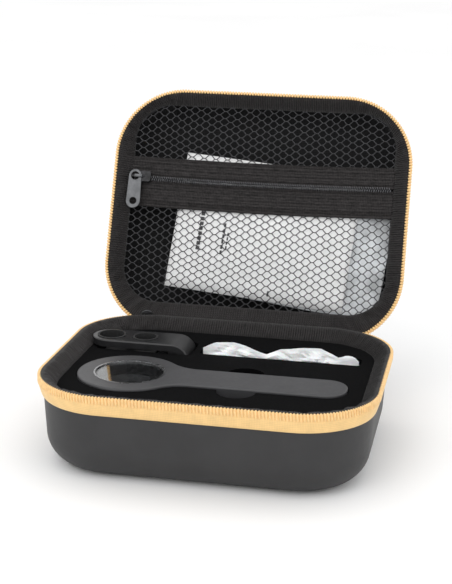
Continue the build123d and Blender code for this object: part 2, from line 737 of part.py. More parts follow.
jaw_top = arm_under - jaw_gap
tail_length = 12.0
with BuildPart() as clip_lower_arm:
    with BuildSketch(Plane.XZ.offset(-(clip_y - jaw_width / 2))):
        with Locations((jaw_pin_x, jaw_pin_z)):
            Circle(jaw_barrel_radius)
            Rectangle(jaw_thickness, tail_length, align=(Align.CENTER, Align.MAX))
        with Locations((jaw_pin_x, jaw_top)):
            Rectangle(jaw_pin_x - clip_left - 7.0, jaw_thickness, align=(Align.MAX, Align.MAX))
        with Locations((jaw_pin_x, jaw_pin_z)):
            Circle(jaw_pin_radius + running_gap, mode=Mode.SUBTRACT)
    extrude(amount=-jaw_width)
    with BuildSketch(Plane.XZ.offset(-(clip_y - 3.5))):
        with Locations((jaw_pin_x, jaw_pin_z)):
            Rectangle(2 * jaw_barrel_radius + 1, 2 * jaw_barrel_radius + 1)
            Circle(jaw_pin_radius + running_gap, mode=Mode.SUBTRACT)
    extrude(amount=-7.0, mode=Mode.SUBTRACT)

with BuildPart() as clip_pad_lower:
    with BuildSketch(Plane.XY.offset(jaw_top)):
        with Locations((small_eye_x - 4.0, clip_y)):
            RectangleRounded(22.0, 13.0, 3.0)
    extrude(amount=1.4)
with BuildPart() as clip_pin:
    with BuildSketch(Plane.XZ.offset(-(clip_y - clip_width / 2 + 0.6))):
        with Locations((jaw_pin_x, jaw_pin_z)):
            Circle(jaw_pin_radius)
    extrude(amount=-(clip_width - 1.2))
with BuildPart() as clip_spring:
    with BuildSketch(Plane.XZ.offset(-(clip_y - 3.0))):
        with Locations((jaw_pin_x, jaw_pin_z)):
            Circle(jaw_pin_radius + 1.2)
            Circle(jaw_pin_radius + 0.3, mode=Mode.SUBTRACT)
    extrude(amount=-6.0)

# ------------------------------------------------------------------ pouch in its slot
with BuildPart() as spare_pouch:
    with BuildSketch(Plane.XZ.offset(-(pouch_y - pouch_thickness / 2))):
        with BuildLine():
            Polyline(
                (pouch_left + 5, pouch_bottom),
                (pouch_right, pouch_bottom),
                (pouch_right, foam_top + 1.0),
                (pouch_right - 8, foam_top + 3.5),
                (pouch_right - 12, foam_top + 1.5),
                (pouch_right - 26, foam_top + 6.5),
                (pouch_right - 40, foam_top + 6.0),
                (pouch_right - 54, foam_top + 2.5),
                (pouch_left + 24, foam_top + 6.0),
                (pouch_left + 9, foam_top + 6.0),
                (pouch_left, foam_top + 3.0),
                close=True,
            )
        make_face()
    extrude(amount=-pouch_thickness)

# ------------------------------------------------------------------ main zip's slider and pull
corner_x = -(case_width / 2 - corner_radius)
corner_y = case_depth / 2 - corner_radius
park = radians(main_slider_angle)
park_radius = corner_radius + 0.3
slider_face = Plane(
    origin=(corner_x + park_radius * cos(park), corner_y + park_radius * sin(park), base_height),
    x_dir=(-sin(park), cos(park), 0),
    z_dir=(cos(park), sin(park), 0),
)
main_pin_z = slider_height + 2.0
slider_drop = slider_width / 2 + 0.3
with BuildPart() as main_slider_body:
    with BuildSketch(slider_face):
        with Locations((0, -slider_drop)):
            RectangleRounded(slider_length, slider_width, slider_corner)
    extrude(amount=slider_height)
    with BuildSketch(slider_face.offset(slider_height)):
        for side in (-1, 1):
            with Locations((side * (slider_length - main_slider_ear) / 2, -slider_drop)):
                Rectangle(main_slider_ear, 2 * main_slider_ear)
    extrude(amount=main_pin_z - slider_height + pull_pin_radius)
    pin_side = Plane(
        slider_face.from_local_coords((0, -slider_drop, main_pin_z)), z_dir=slider_face.x_dir
    )
    with BuildSketch(pin_side):
        Circle(pull_pin_radius)
    extrude(amount=(slider_length - main_slider_ear) / 2, both=True)
with BuildPart() as main_pull_tab:
    add(pull_tab(slider_face, 0, -slider_drop, main_pin_z, -1))

pieces = {
    "base_shell": base_shell, "base_lining": base_lining, "base_zip_tape": base_zip_tape,
    "base_zip_teeth": base_zip_teeth, "base_binding": base_binding, "foam_floor": foam_floor,
    "foam_insert": foam_insert, "hinge_fabric": hinge_fabric, "lid_shell": lid_shell,
    "lid_lining": lid_lining, "lid_zip_tape": lid_zip_tape, "lid_zip_teeth": lid_zip_teeth,
    "lid_binding": lid_binding, "pocket_net_lower": pocket_net_lower,
    "pocket_net_upper": pocket_net_upper, "pocket_tape_lower": pocket_tape_lower,
    "pocket_tape_upper": pocket_tape_upper, "pocket_zip_coil": pocket_zip_coil,
    "pocket_slider_body": pocket_slider_body, "pocket_pull_tab": pocket_pull_tab,
    "leaflet": leaflet, "cloth_bag": cloth_bag, "top_cover": top_cover,
    "lower_housing": lower_housing, "eyepiece_bezel": eyepiece_bezel,
    "eyepiece_window": eyepiece_window, "lens_barrel": lens_barrel,
    "objective_lens": objective_lens, "lens_retainer": lens_retainer, "light_board": light_board,
    "light_diodes": light_diodes, "polariser_ring": polariser_ring, "focus_ring": focus_ring,
    "contact_cone": contact_cone, "contact_plate": contact_plate, "main_board": main_board,
    "board_switches": board_switches, "battery": battery, "charging_socket": charging_socket,
    "charge_light": charge_light, "housing_screws": housing_screws, "power_button": power_button,
    "mode_button": mode_button, "clip_upper_arm": clip_upper_arm,
    "clip_lower_arm": clip_lower_arm, "clip_eye_large": clip_eye_large,
    "clip_eye_small": clip_eye_small, "clip_pad_upper": clip_pad_upper,
    "clip_pad_lower": clip_pad_lower, "clip_pin": clip_pin, "clip_spring": clip_spring,
    "spare_pouch": spare_pouch, "main_slider_body": main_slider_body,
    "main_pull_tab": main_pull_tab,
}
for piece_name, piece in pieces.items():
    finish(piece.part, piece_name)
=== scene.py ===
"""Zip-around moulded case, open, holding a skin magnifier, a phone clip and a white pouch.

The cloth, zip, net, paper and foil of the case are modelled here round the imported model, and
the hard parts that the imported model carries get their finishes. Lengths are in metres.
"""
import json
from math import cos, exp, pi, radians, sin

import bmesh
import bpy
from mathutils import Matrix, Vector, noise


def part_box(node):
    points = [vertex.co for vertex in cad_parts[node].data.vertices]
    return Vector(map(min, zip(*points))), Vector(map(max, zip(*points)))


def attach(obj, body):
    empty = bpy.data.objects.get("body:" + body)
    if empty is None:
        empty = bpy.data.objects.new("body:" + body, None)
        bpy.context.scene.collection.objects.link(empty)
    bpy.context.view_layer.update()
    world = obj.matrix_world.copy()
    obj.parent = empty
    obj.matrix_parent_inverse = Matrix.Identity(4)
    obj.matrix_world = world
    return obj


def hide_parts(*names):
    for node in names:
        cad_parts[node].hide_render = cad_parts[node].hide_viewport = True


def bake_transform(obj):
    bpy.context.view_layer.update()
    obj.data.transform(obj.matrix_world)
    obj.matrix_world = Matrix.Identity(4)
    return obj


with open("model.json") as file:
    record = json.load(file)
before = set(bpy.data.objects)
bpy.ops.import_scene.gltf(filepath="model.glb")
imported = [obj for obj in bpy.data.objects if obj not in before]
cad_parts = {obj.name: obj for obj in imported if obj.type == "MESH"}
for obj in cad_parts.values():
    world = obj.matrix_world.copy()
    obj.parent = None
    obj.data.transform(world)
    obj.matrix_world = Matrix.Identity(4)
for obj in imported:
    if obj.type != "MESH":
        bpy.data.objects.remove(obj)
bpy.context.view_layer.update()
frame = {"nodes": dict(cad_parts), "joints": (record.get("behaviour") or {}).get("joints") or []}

bl_info = {
    "name": "Zip case kit",
    "version": (1, 0, 0),
    "blender": (4, 5, 0),
    "location": "View3D > Sidebar > Zip Case",
    "description": "Builds the soft parts and finishes of a zip-around case with its tools",
    "category": "Add Mesh",
}

mm = 0.001

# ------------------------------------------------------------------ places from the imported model
TAPE_LOW, TAPE_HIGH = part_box("base_zip_tape")
TEETH_LOW, TEETH_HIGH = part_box("base_zip_teeth")
HALF_WIDTH = TEETH_HIGH.x
HALF_DEPTH = -TEETH_LOW.y
RIM_GAP = 0.15 * mm
RIM_HEIGHT = TEETH_HIGH.z + RIM_GAP
CORNER = 46 * mm
ZIP_BAND = RIM_HEIGHT - TAPE_LOW.z
TEETH_HEIGHT = RIM_HEIGHT - TAPE_HIGH.z
FOAM_DROP = RIM_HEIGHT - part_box("foam_insert")[1].z


def joint_named(name):
    """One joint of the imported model."""
    return next(joint for joint in frame["joints"] if joint["name"] == name)


HINGE = joint_named("lid_hinge")
HINGE_AT = Vector(HINGE["pos_m"])
OPEN_ANGLE = -radians(HINGE["range_deg"][0])
NET_DROP = 6.5 * mm
BINDING_CLOTH = 0.6 * mm
PULL_LENGTH = 26.4 * mm
COIL_CLEAR = 0.7 * mm
NET_HEM = 3 * mm

# The base's rim frame: local z goes down into the base. The lid's goes into the lid.
SHUT_LID = Matrix.Translation((0, 0, RIM_HEIGHT))
SWING = (
    Matrix.Translation(HINGE_AT)
    @ Matrix.Rotation(-OPEN_ANGLE, 4, "X")
    @ Matrix.Translation(-HINGE_AT)
)
RIMS = {
    "base": Matrix.Translation((0, 0, RIM_HEIGHT)) @ Matrix.Rotation(pi, 4, "Y"),
    "lid": SWING @ SHUT_LID,
}


def linear(code):
    """Linear colour of an sRGB hex code."""
    parts = [int(code[i:i + 2], 16) / 255 for i in (1, 3, 5)]
    return [p / 12.92 if p <= 0.04045 else ((p + 0.055) / 1.055) ** 2.4 for p in parts]


def rgba(colour, share=1.0):
    """Colour with alpha, lightened or darkened by share."""
    return [min(c * share, 1.0) for c in colour[:3]] + [1.0]


# ------------------------------------------------------------------ what a user would change
def length_of(name, default, description):
    """A length that shows in the panel."""
    return bpy.props.FloatProperty(
        name=name, description=description, default=default, unit="LENGTH", precision=5
    )


def colour_of(name, code, description):
    """A colour that shows in the panel."""
    return bpy.props.FloatVectorProperty(
        name=name, description=description, default=linear(code), subtype="COLOR",
        size=3, min=0.0, max=1.0,
    )


class ZipCaseSizes(bpy.types.PropertyGroup):
    """Sizes of the cloth, the zips and the things in the case."""

    tooth_pitch: length_of("Tooth pitch", 1.9 * mm, "From one coil tooth to the next")
    tooth_width: length_of("Tooth width", 1.35 * mm, "One tooth along the rim")
    tooth_depth: length_of("Tooth depth", 2.3 * mm, "One tooth through the wall")
    rib_pitch: length_of("Rib pitch", 1.5 * mm, "From one rib of the binding to the next")
    rib_rise: length_of("Rib rise", 0.24 * mm, "How far a rib stands out")
    lid_binding_side: length_of("Lid binding, sides", 12.5 * mm, "Rim to net at the sides")
    lid_binding_front: length_of("Lid binding, front", 10.5 * mm, "Rim to net at the front")
    lid_binding_hinge: length_of("Lid binding, hinge", 20 * mm, "Rim to net at the hinge")
    base_binding: length_of("Base binding", 11.2 * mm, "Rim to foam")
    net_corner: length_of("Net corner", 24 * mm, "Plan corner of the net's opening")
    net_column: length_of("Net column", 4.15 * mm, "From one column of cells to the next")
    net_row: length_of("Net row", 5.0 * mm, "Height of one cell of the net")
    net_strand: length_of("Net strand", 0.62 * mm, "Width of one strand")
    band_low: length_of("Pocket band, low", 84.6 * mm, "Zip band's lower edge from the hinge")
    band_high: length_of("Pocket band, high", 118 * mm, "Zip band's upper edge from the hinge")
    coil_up: length_of("Pocket coil", 103.4 * mm, "Pocket zip's coil from the hinge edge")
    coil_pitch: length_of("Coil pitch", 1.5 * mm, "From one turn of the coil to the next")


class ZipCaseColours(bpy.types.PropertyGroup):
    """Colours of the finishes."""

    shell: colour_of("Shell", "#303031", "Moulded shell")
    tan: colour_of("Zip tape", "#ecc688", "Zip's woven tape")
    tan_tooth: colour_of("Zip teeth", "#efc88c", "Zip's coil teeth")
    black_cloth: colour_of("Binding", "#1e1b1b", "Ribbed binding and hinge cloth")
    lining: colour_of("Lining", "#1c1c1d", "Lining of the lid")
    foam: colour_of("Foam", "#070708", "Cut foam")
    net: colour_of("Net", "#303033", "Pocket net")
    band: colour_of("Pocket band", "#222020", "Band of the pocket zip")
    zinc: colour_of("Zinc", "#5f6062", "Slider and pull")
    paper: colour_of("Paper", "#fbfbfb", "Leaflet")
    bag: colour_of("Bag", "#dfe2e5", "Clear bag")
    housing: colour_of("Housing", "#3e3e40", "Magnifier and phone clip")
    pouch: colour_of("Pouch", "#f6f8fa", "White pouch")


def sizes():
    """The sizes as the user has set them."""
    return bpy.context.scene.zip_case_sizes


def colours():
    """The colours as the user has set them."""
    return bpy.context.scene.zip_case_colours


# ------------------------------------------------------------------ materials
def add_node(material, kind, values=None, **settings):
    """Add one node with its settings; values fill its inputs, or link them to an output."""
    made = material.node_tree.nodes.new(kind)
    for name, value in settings.items():
        setattr(made, name, value)
    for socket, value in (values or {}).items():
        if isinstance(value, bpy.types.NodeSocket):
            material.node_tree.links.new(value, made.inputs[socket])
        else:
            made.inputs[socket].default_value = value
    return made


def start_material(name, **values):
    """New material whose surface is one shader with these constants."""
    material = bpy.data.materials.new(name)
    material.use_nodes = True
    shader = material.node_tree.nodes["Principled BSDF"]
    for socket, value in values.items():
        shader.inputs[socket.replace("_", " ")].default_value = value
    return material, shader


def two_tones(material, shader, factor, low, high, start=0.35, end=0.65):
    """Colour the surface between two tones by a pattern."""
    ramp = add_node(material, "ShaderNodeValToRGB", {"Fac": factor})
    ramp.color_ramp.elements[0].position = start
    ramp.color_ramp.elements[0].color = low
    ramp.color_ramp.elements[1].position = end
    ramp.color_ramp.elements[1].color = high
    material.node_tree.links.new(ramp.outputs["Color"], shader.inputs["Base Color"])


def raise_surface(material, shader, height, distance, strength=1.0):
    """Give the surface relief of this height from a pattern."""
    bump = add_node(
        material, "ShaderNodeBump",
        {"Height": height, "Distance": distance, "Strength": strength},
    )
    material.node_tree.links.new(bump.outputs["Normal"], shader.inputs["Normal"])


def vary_roughness(material, shader, factor, low, high):
    """Let a pattern change the roughness between two values."""
    spread = add_node(
        material, "ShaderNodeMapRange", {"Value": factor, "To Min": low, "To Max": high}
    )
    material.node_tree.links.new(spread.outputs["Result"], shader.inputs["Roughness"])


def grain(material, size, detail=3.0, coordinates="Object"):
    """Noise whose blotches are about this size."""
    place = add_node(material, "ShaderNodeTexCoord")
    return add_node(
        material, "ShaderNodeTexNoise",
        {"Vector": place.outputs[coordinates], "Scale": 1 / size, "Detail": detail},
    ).outputs["Fac"]


def threads(material, pitch, direction="X", coordinates="UV", profile="SIN"):
    """Straight threads or ribs at this pitch, across the given direction."""
    place = add_node(material, "ShaderNodeTexCoord")
    # A wave texture has one band in each 1/20 turn of its scale: 2 pi / 20.
    return add_node(
        material, "ShaderNodeTexWave",
        {"Vector": place.outputs[coordinates], "Scale": 2 * pi / 20 / pitch, "Distortion": 0.0},
        wave_type="BANDS", bands_direction=direction, wave_profile=profile,
    ).outputs["Fac"]


def mixed(material, first, second, share=0.5, blend="MIX"):
    """Two patterns mixed into one."""
    made = add_node(
        material, "ShaderNodeMix", data_type="RGBA", blend_type=blend, clamp_result=True
    )
    made.inputs[0].default_value = share
    material.node_tree.links.new(first, made.inputs[6])
    material.node_tree.links.new(second, made.inputs[7])
    return made.outputs[2]


def shell_leathercloth():
    """EVA foam pressed hot with polyurethane cloth: an even charcoal with a soft, wide sheen."""
    colour = colours().shell
    material, shader = start_material(
        "shell_pu_leathercloth", Roughness=0.5, Specular_IOR_Level=0.35
    )
    two_tones(material, shader, grain(material, 14 * mm), rgba(colour, 0.93), rgba(colour, 1.07))
    place = add_node(material, "ShaderNodeTexCoord")
    pebble = add_node(
        material, "ShaderNodeTexVoronoi",
        {"Vector": place.outputs["Object"], "Scale": 1 / (0.8 * mm)},
        feature="SMOOTH_F1",
    )
    raise_surface(material, shader, pebble.outputs["Distance"], 0.05 * mm, 0.35)
    vary_roughness(material, shader, grain(material, 3 * mm), 0.46, 0.56)
    return material


def lining_jersey():
    """Black polyester jersey bonded inside the shells: dull, with small knitted loops."""
    colour = colours().lining
    material, shader = start_material(
        "lining_polyester_jersey", Roughness=0.9, Specular_IOR_Level=0.2, Sheen_Weight=0.05,
        Sheen_Roughness=0.4
    )
    loops = mixed(
        material, threads(material, 1.1 * mm, "X", "Object"),
        threads(material, 1.1 * mm, "Z", "Object"),
    )
    two_tones(material, shader, loops, rgba(colour, 0.7), rgba(colour, 1.25), 0.2, 0.8)
    raise_surface(material, shader, loops, 0.15 * mm)
    return material


def zip_tape_cloth():
    """Woven polyester zip tape in tan: fine cross threads that catch a little light."""
    colour = colours().tan
    material, shader = start_material(
        "zip_tape_woven_polyester", Roughness=0.72, Sheen_Weight=0.2, Sheen_Roughness=0.35
    )
    # The real threads are 0.4 mm apart; they are drawn at 0.9 mm so that they show.
    weave = mixed(material, threads(material, 0.9 * mm, "X"), threads(material, 0.9 * mm, "Y"))
    blotch = mixed(material, weave, grain(material, 5 * mm), 0.6)
    two_tones(material, shader, blotch, rgba(colour, 0.86), rgba(colour, 1.08), 0.25, 0.75)
    raise_surface(material, shader, weave, 0.1 * mm, 0.6)
    return material


def zip_tooth_nylon():
    """Dyed nylon coil: smooth, a little lighter and glossier than its tape."""
    colour = colours().tan_tooth
    material, shader = start_material(
        "zip_teeth_nylon", Roughness=0.4, Subsurface_Weight=0.08, Subsurface_Scale=0.5 * mm
    )
    two_tones(material, shader, grain(material, 2 * mm), rgba(colour, 0.9), rgba(colour, 1.05))
    raise_surface(material, shader, grain(material, 0.6 * mm), 0.04 * mm)
    return material


def ribbed_grosgrain():
    """Black polyester grosgrain: ribs across the tape and a faint brown cast. Its colour follows
    the ribs: painted highlight on their tops and painted shade in the valleys.
    """
    colour = colours().black_cloth
    material, shader = start_material(
        "binding_grosgrain_painted_rib_light", Roughness=0.6, Specular_IOR_Level=0.4,
        Sheen_Weight=0.08, Sheen_Roughness=0.35
    )
    ribs = threads(material, sizes().rib_pitch, "X")
    cross = threads(material, 0.7 * mm, "Y")
    cloth = mixed(material, mixed(material, ribs, cross, 0.35), grain(material, 2.2 * mm), 0.35)
    # Painted light: the colour is lighter on the rib tops (painted highlight) and darker in the
    # valleys (painted shade), over the threads' random tone.
    two_tones(material, shader, cloth, rgba(colour, 0.3), rgba(colour, 2.1), 0.3, 0.75)
    raise_surface(material, shader, mixed(material, ribs, cross, 0.4), 0.6 * mm)
    return material


def foam_cut():
    """Closed-cell foam, cut and skinned: nearly black and without shine."""
    colour = colours().foam
    material, shader = start_material(
        "foam_closed_cell_eva", Roughness=0.95, Specular_IOR_Level=0.08
    )
    cells = grain(material, 0.9 * mm, 4.0)
    two_tones(material, shader, cells, rgba(colour, 0.6), rgba(colour, 1.5))
    raise_surface(material, shader, cells, 0.12 * mm, 0.6)
    return material


def net_thread():
    """Warp-knitted polyester net: round dark grey strands that catch the light on top."""
    colour = colours().net
    material, shader = start_material(
        "net_knitted_polyester", Roughness=0.55, Sheen_Weight=0.2, Sheen_Roughness=0.3
    )
    two_tones(
        material, shader, grain(material, 0.7 * mm), rgba(colour, 0.6), rgba(colour, 1.35)
    )
    raise_surface(material, shader, grain(material, 0.5 * mm), 0.1 * mm)
    return material


def band_webbing():
    """Heathered polyester band: long thin streaks with a brown cast, and cross ribs."""
    colour = colours().band
    material, shader = start_material(
        "pocket_band_heathered_polyester", Roughness=0.82, Specular_IOR_Level=0.25,
        Sheen_Weight=0.06, Sheen_Roughness=0.4,
    )
    place = add_node(material, "ShaderNodeTexCoord")
    stretch = add_node(
        material, "ShaderNodeMapping",
        {"Vector": place.outputs["UV"], "Scale": (1 / (6 * mm), 1 / (0.7 * mm), 1.0)},
    )
    streaks = add_node(
        material, "ShaderNodeTexNoise",
        {"Vector": stretch.outputs["Vector"], "Scale": 1.0, "Detail": 4.0},
    ).outputs["Fac"]
    ribs = mixed(material, threads(material, 1.1 * mm, "X"), threads(material, 2.0 * mm, "Y"))
    cloth = mixed(material, mixed(material, streaks, grain(material, 1.1 * mm), 0.45), ribs, 0.2)
    two_tones(material, shader, cloth, rgba(colour, 0.3), rgba(colour, 2.6), 0.38, 0.66)
    raise_surface(material, shader, cloth, 0.4 * mm)
    return material


def coil_nylon():
    """Black nylon coil: smooth turns with real glints from its gloss, and a base colour painted
    lighter grey than black nylon as painted highlight.
    """
    material, shader = start_material("pocket_coil_nylon_painted_glints", Roughness=0.22)
    # Painted highlight: these mid greys stand in for bright glints on the black turns.
    two_tones(
        material, shader, grain(material, 1.5 * mm), rgba(linear("#3c3c3e")),
        rgba(linear("#5c5c5f")),
    )
    return material


def zinc_plated():
    """Die-cast zinc with a grey nickel plate: soft edges, fine scuffs."""
    colour = colours().zinc
    material, shader = start_material("slider_plated_zinc", Metallic=0.9, Roughness=0.34)
    two_tones(material, shader, grain(material, 4 * mm), rgba(colour, 0.8), rgba(colour, 1.1))
    vary_roughness(material, shader, grain(material, 1.2 * mm, 5.0), 0.26, 0.46)
    return material


def black_nickel():
    """Die-cast zinc plated black: the sliders' bodies, worn a little at the edges."""
    material, shader = start_material("slider_black_nickel", Metallic=0.6, Roughness=0.42)
    two_tones(
        material, shader, grain(material, 2 * mm), rgba(linear("#202021")),
        rgba(linear("#343436")),
    )
    return material


def leaflet_paper():
    """Uncoated white printing paper: matt, with a faint fibre."""
    colour = colours().paper
    material, shader = start_material("leaflet_printing_paper", Roughness=0.7)
    two_tones(material, shader, grain(material, 6 * mm), rgba(colour, 0.95), rgba(colour, 1.02))
    raise_surface(material, shader, grain(material, 0.6 * mm), 0.03 * mm, 0.4)
    return material


def print_ink():
    """Offset ink for the plain bars: dark grey and dull, broken up by the paper's fibre."""
    material, shader = start_material("leaflet_ink", Roughness=0.6)
    two_tones(
        material, shader, grain(material, 0.8 * mm), rgba(linear("#2a2a2b")),
        rgba(linear("#4a4a4c")),
    )
    return material


def bag_polythene():
    """Clear polythene round a grey wiping cloth: milky, with sharp glints on its creases. Its wide
    darker blotches are partly the grey cloth and partly painted shade of the crumpled film.
    """
    colour = colours().bag
    material, shader = start_material(
        "bag_polythene_film", Roughness=0.28, Specular_IOR_Level=0.6, Coat_Weight=0.5,
        Coat_Roughness=0.12,
    )
    # Partly painted shade: the darker blotches stand for the grey cloth under the film and for the
    # shade in its crumples.
    two_tones(
        material, shader, grain(material, 15 * mm, 4.0), rgba(colour, 0.55), rgba(colour, 1.1)
    )
    raise_surface(material, shader, grain(material, 5 * mm, 5.0), 0.6 * mm)
    return material


def housing_abs():
    """Moulded ABS with a fine spark-eroded texture: dark grey with a soft wide shine."""
    colour = colours().housing
    material, shader = start_material("housing_moulded_abs", Roughness=0.42)
    two_tones(material, shader, grain(material, 9 * mm), rgba(colour, 0.94), rgba(colour, 1.06))
    raise_surface(material, shader, grain(material, 0.5 * mm, 2.0), 0.03 * mm, 0.5)
    vary_roughness(material, shader, grain(material, 2.5 * mm), 0.38, 0.5)
    return material


def clip_abs():
    """Moulded ABS of the phone clip: a shade darker and glossier than the magnifier."""
    colour = colours().housing
    material, shader = start_material("clip_moulded_abs", Roughness=0.34)
    two_tones(material, shader, grain(material, 7 * mm), rgba(colour, 0.3), rgba(colour, 0.4))
    raise_surface(material, shader, grain(material, 0.5 * mm, 2.0), 0.03 * mm, 0.5)
    return material


def bright_aluminium():
    """Turned aluminium ring: bright, with fine rings from the tool."""
    material, shader = start_material("bezel_turned_aluminium", Metallic=1.0, Roughness=0.3)
    two_tones(
        material, shader, grain(material, 3 * mm), rgba(linear("#8f9092")),
        rgba(linear("#a3a4a6")),
    )
    vary_roughness(material, shader, grain(material, 6 * mm), 0.24, 0.3)
    return material


def window_glass():
    """Coated optical glass: clear, with a mirror-sharp reflection."""
    material, shader = start_material(
        "window_optical_glass", Roughness=0.0, IOR=1.52, Transmission_Weight=1.0,
        Base_Color=(0.95, 0.97, 0.98, 1.0),
    )
    vary_roughness(material, shader, grain(material, 8 * mm), 0.0, 0.015)
    return material


def barrel_anodised():
    """Black anodised aluminium with turned steps: dark, with soft grey bands on its walls."""
    material, shader = start_material("barrel_black_anodised_aluminium", Roughness=0.3)
    two_tones(
        material, shader, grain(material, 6 * mm), rgba(linear("#2b2b2c")),
        rgba(linear("#363637")),
    )
    vary_roughness(material, shader, grain(material, 6 * mm), 0.42, 0.5)
    return material


def circuit_board():
    """Green solder resist on glass fibre: glossy green with darker tracks."""
    material, shader = start_material("board_solder_resist", Roughness=0.3)
    tracks = threads(material, 1.6 * mm, "X", "Object", "SAW")
    two_tones(
        material, shader, mixed(material, tracks, grain(material, 2 * mm)),
        rgba(linear("#0e3a1e")), rgba(linear("#1c5a30")),
    )
    return material


def diode_lens():
    """Yellow phosphor under clear resin: pale, waxy and glossy."""
    material, shader = start_material(
        "diode_phosphor_resin", Roughness=0.15, Subsurface_Weight=0.2,
        Subsurface_Scale=1 * mm,
    )
    two_tones(
        material, shader, grain(material, 1 * mm), rgba(linear("#e8dca0")),
        rgba(linear("#f6f1d4")),
    )
    return material


def polariser_film():
    """Polarising film: smooth and very dark grey, with a clear gloss."""
    material, shader = start_material("polariser_film", Roughness=0.12)
    two_tones(
        material, shader, grain(material, 4 * mm), rgba(linear("#2b2c31")),
        rgba(linear("#383a40")),
    )
    return material


def grip_rubber():
    """Black silicone rubber: matt, with a dusty grain."""
    material, shader = start_material("grip_silicone_rubber", Roughness=0.68)
    two_tones(
        material, shader, grain(material, 1.5 * mm), rgba(linear("#151515")),
        rgba(linear("#222223")),
    )
    raise_surface(material, shader, grain(material, 0.4 * mm), 0.05 * mm, 0.5)
    return material


def nickel_steel():
    """Nickel-plated steel: bright grey with fine scratches."""
    material, shader = start_material("fittings_nickel_steel", Metallic=1.0, Roughness=0.25)
    two_tones(
        material, shader, grain(material, 2 * mm), rgba(linear("#9c9c9d")),
        rgba(linear("#bdbdbe")),
    )
    vary_roughness(material, shader, grain(material, 0.7 * mm), 0.2, 0.38)
    return material


def cell_wrap():
    """Laminated foil of a flat cell: silver grey with soft dents."""
    material, shader = start_material("cell_laminated_foil", Metallic=0.7, Roughness=0.38)
    two_tones(
        material, shader, grain(material, 5 * mm), rgba(linear("#8f9195")),
        rgba(linear("#b3b5b8")),
    )
    raise_surface(material, shader, grain(material, 4 * mm), 0.2 * mm)
    return material


def pouch_film():
    """Pearly white plastic film: crisp folds, some light shining through."""
    colour = colours().pouch
    material, shader = start_material(
        "pouch_pearl_film", Roughness=0.32, Subsurface_Weight=0.15, Subsurface_Scale=2 * mm,
        Coat_Weight=0.3, Coat_Roughness=0.2,
    )
    two_tones(
        material, shader, grain(material, 9 * mm, 4.0), rgba(colour, 0.94), rgba(colour, 1.06)
    )
    raise_surface(material, shader, grain(material, 5 * mm, 2.0), 0.4 * mm)
    return material


def floor_paint():
    """Matt white studio floor."""
    material, shader = start_material("floor_matt_white", Roughness=0.9)
    two_tones(
        material, shader, grain(material, 400 * mm), rgba(linear("#f7f7f7")),
        rgba(linear("#fbfbfb")),
    )
    return material


# ------------------------------------------------------------------ making pieces
def put(bm, name, material, body, replaces=(), smooth=True):
    """Make a finished piece that rides on a body."""
    mesh = bpy.data.meshes.new(name)
    bm.to_mesh(mesh)
    bm.free()
    if smooth:
        mesh.shade_smooth()
    made = bpy.data.objects.new(name, mesh)
    bpy.context.collection.objects.link(made)
    mesh.materials.append(material)
    if body:
        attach(made, body)
    if replaces:
        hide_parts(*replaces)
    return made


def thicken(made, thickness, offset=-1.0):
    """Give a surface its cloth's thickness."""
    wall = made.modifiers.new("Thickness", "SOLIDIFY")
    wall.thickness = thickness
    wall.offset = offset
    return made


def paint(material, *nodes):
    """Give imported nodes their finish."""
    for name in nodes:
        for place in frame["nodes"][name].material_slots:
            place.link = "OBJECT"
            place.material = material


ARC = CORNER * pi / 2
HALF_BACK = HALF_WIDTH - CORNER
SIDE_RUN = 2 * (HALF_DEPTH - CORNER)
FRONT_RUN = 2 * HALF_BACK
RIM_LENGTH = 2 * FRONT_RUN + 2 * SIDE_RUN + 4 * ARC
ZIP_END = HALF_BACK + CORNER * radians(30)


def rim_point(distance, inset=0.0):
    """Plan point on the rim and its outward angle; distance runs clockwise from mid-hinge."""
    left = distance % RIM_LENGTH
    place, outward = Vector((0.0, HALF_DEPTH)), pi / 2
    for run in (HALF_BACK, SIDE_RUN, FRONT_RUN, SIDE_RUN, HALF_BACK):
        along = Vector((sin(outward), -cos(outward)))
        out = Vector((cos(outward), sin(outward)))
        if left <= run:
            return place + along * left - out * inset, outward
        centre = place + along * run - out * CORNER
        left -= run
        if left <= ARC:
            angle = outward - left / CORNER
            return centre + Vector((cos(angle), sin(angle))) * (CORNER - inset), angle
        left -= ARC
        outward -= pi / 2
        place = centre + Vector((cos(outward), sin(outward))) * CORNER
    return place, outward


def rim_band(half, start, end, step, rows, section):
    """Strip laid along a half's rim; section gives inset and depth from distance and share.

    Its UV map holds the real lengths along and across the strip.
    """
    columns = max(2, round((end - start) / step))
    bm = bmesh.new()
    uv = bm.loops.layers.uv.new("UVMap")
    bmesh.ops.create_grid(bm, x_segments=columns, y_segments=rows, size=0.5, calc_uvs=True)
    for face in bm.faces:
        for loop in face.loops:
            along, across = loop.vert.co.x + 0.5, loop.vert.co.y + 0.5
            loop[uv].uv = (start + along * (end - start), across * 15 * mm)
    for vert in bm.verts:
        distance = start + (vert.co.x + 0.5) * (end - start)
        share = vert.co.y + 0.5
        inset, depth = section(distance, share)
        point, _ = rim_point(distance, inset)
        vert.co = Vector((point.x, point.y, depth))
    if end - start > RIM_LENGTH - step:
        bmesh.ops.remove_doubles(bm, verts=bm.verts, dist=0.01 * mm)
    bmesh.ops.recalc_face_normals(bm, faces=bm.faces)
    bmesh.ops.transform(bm, matrix=RIMS[half], verts=bm.verts)
    return bm


def along_points(points, share):
    """Point at a share of the way along a polyline of (inset, depth), eased between them."""
    place = share * (len(points) - 1)
    index = min(int(place), len(points) - 2)
    mix = place - index
    (a0, b0), (a1, b1) = points[index], points[index + 1]
    return a0 + (a1 - a0) * mix, b0 + (b1 - b0) * mix


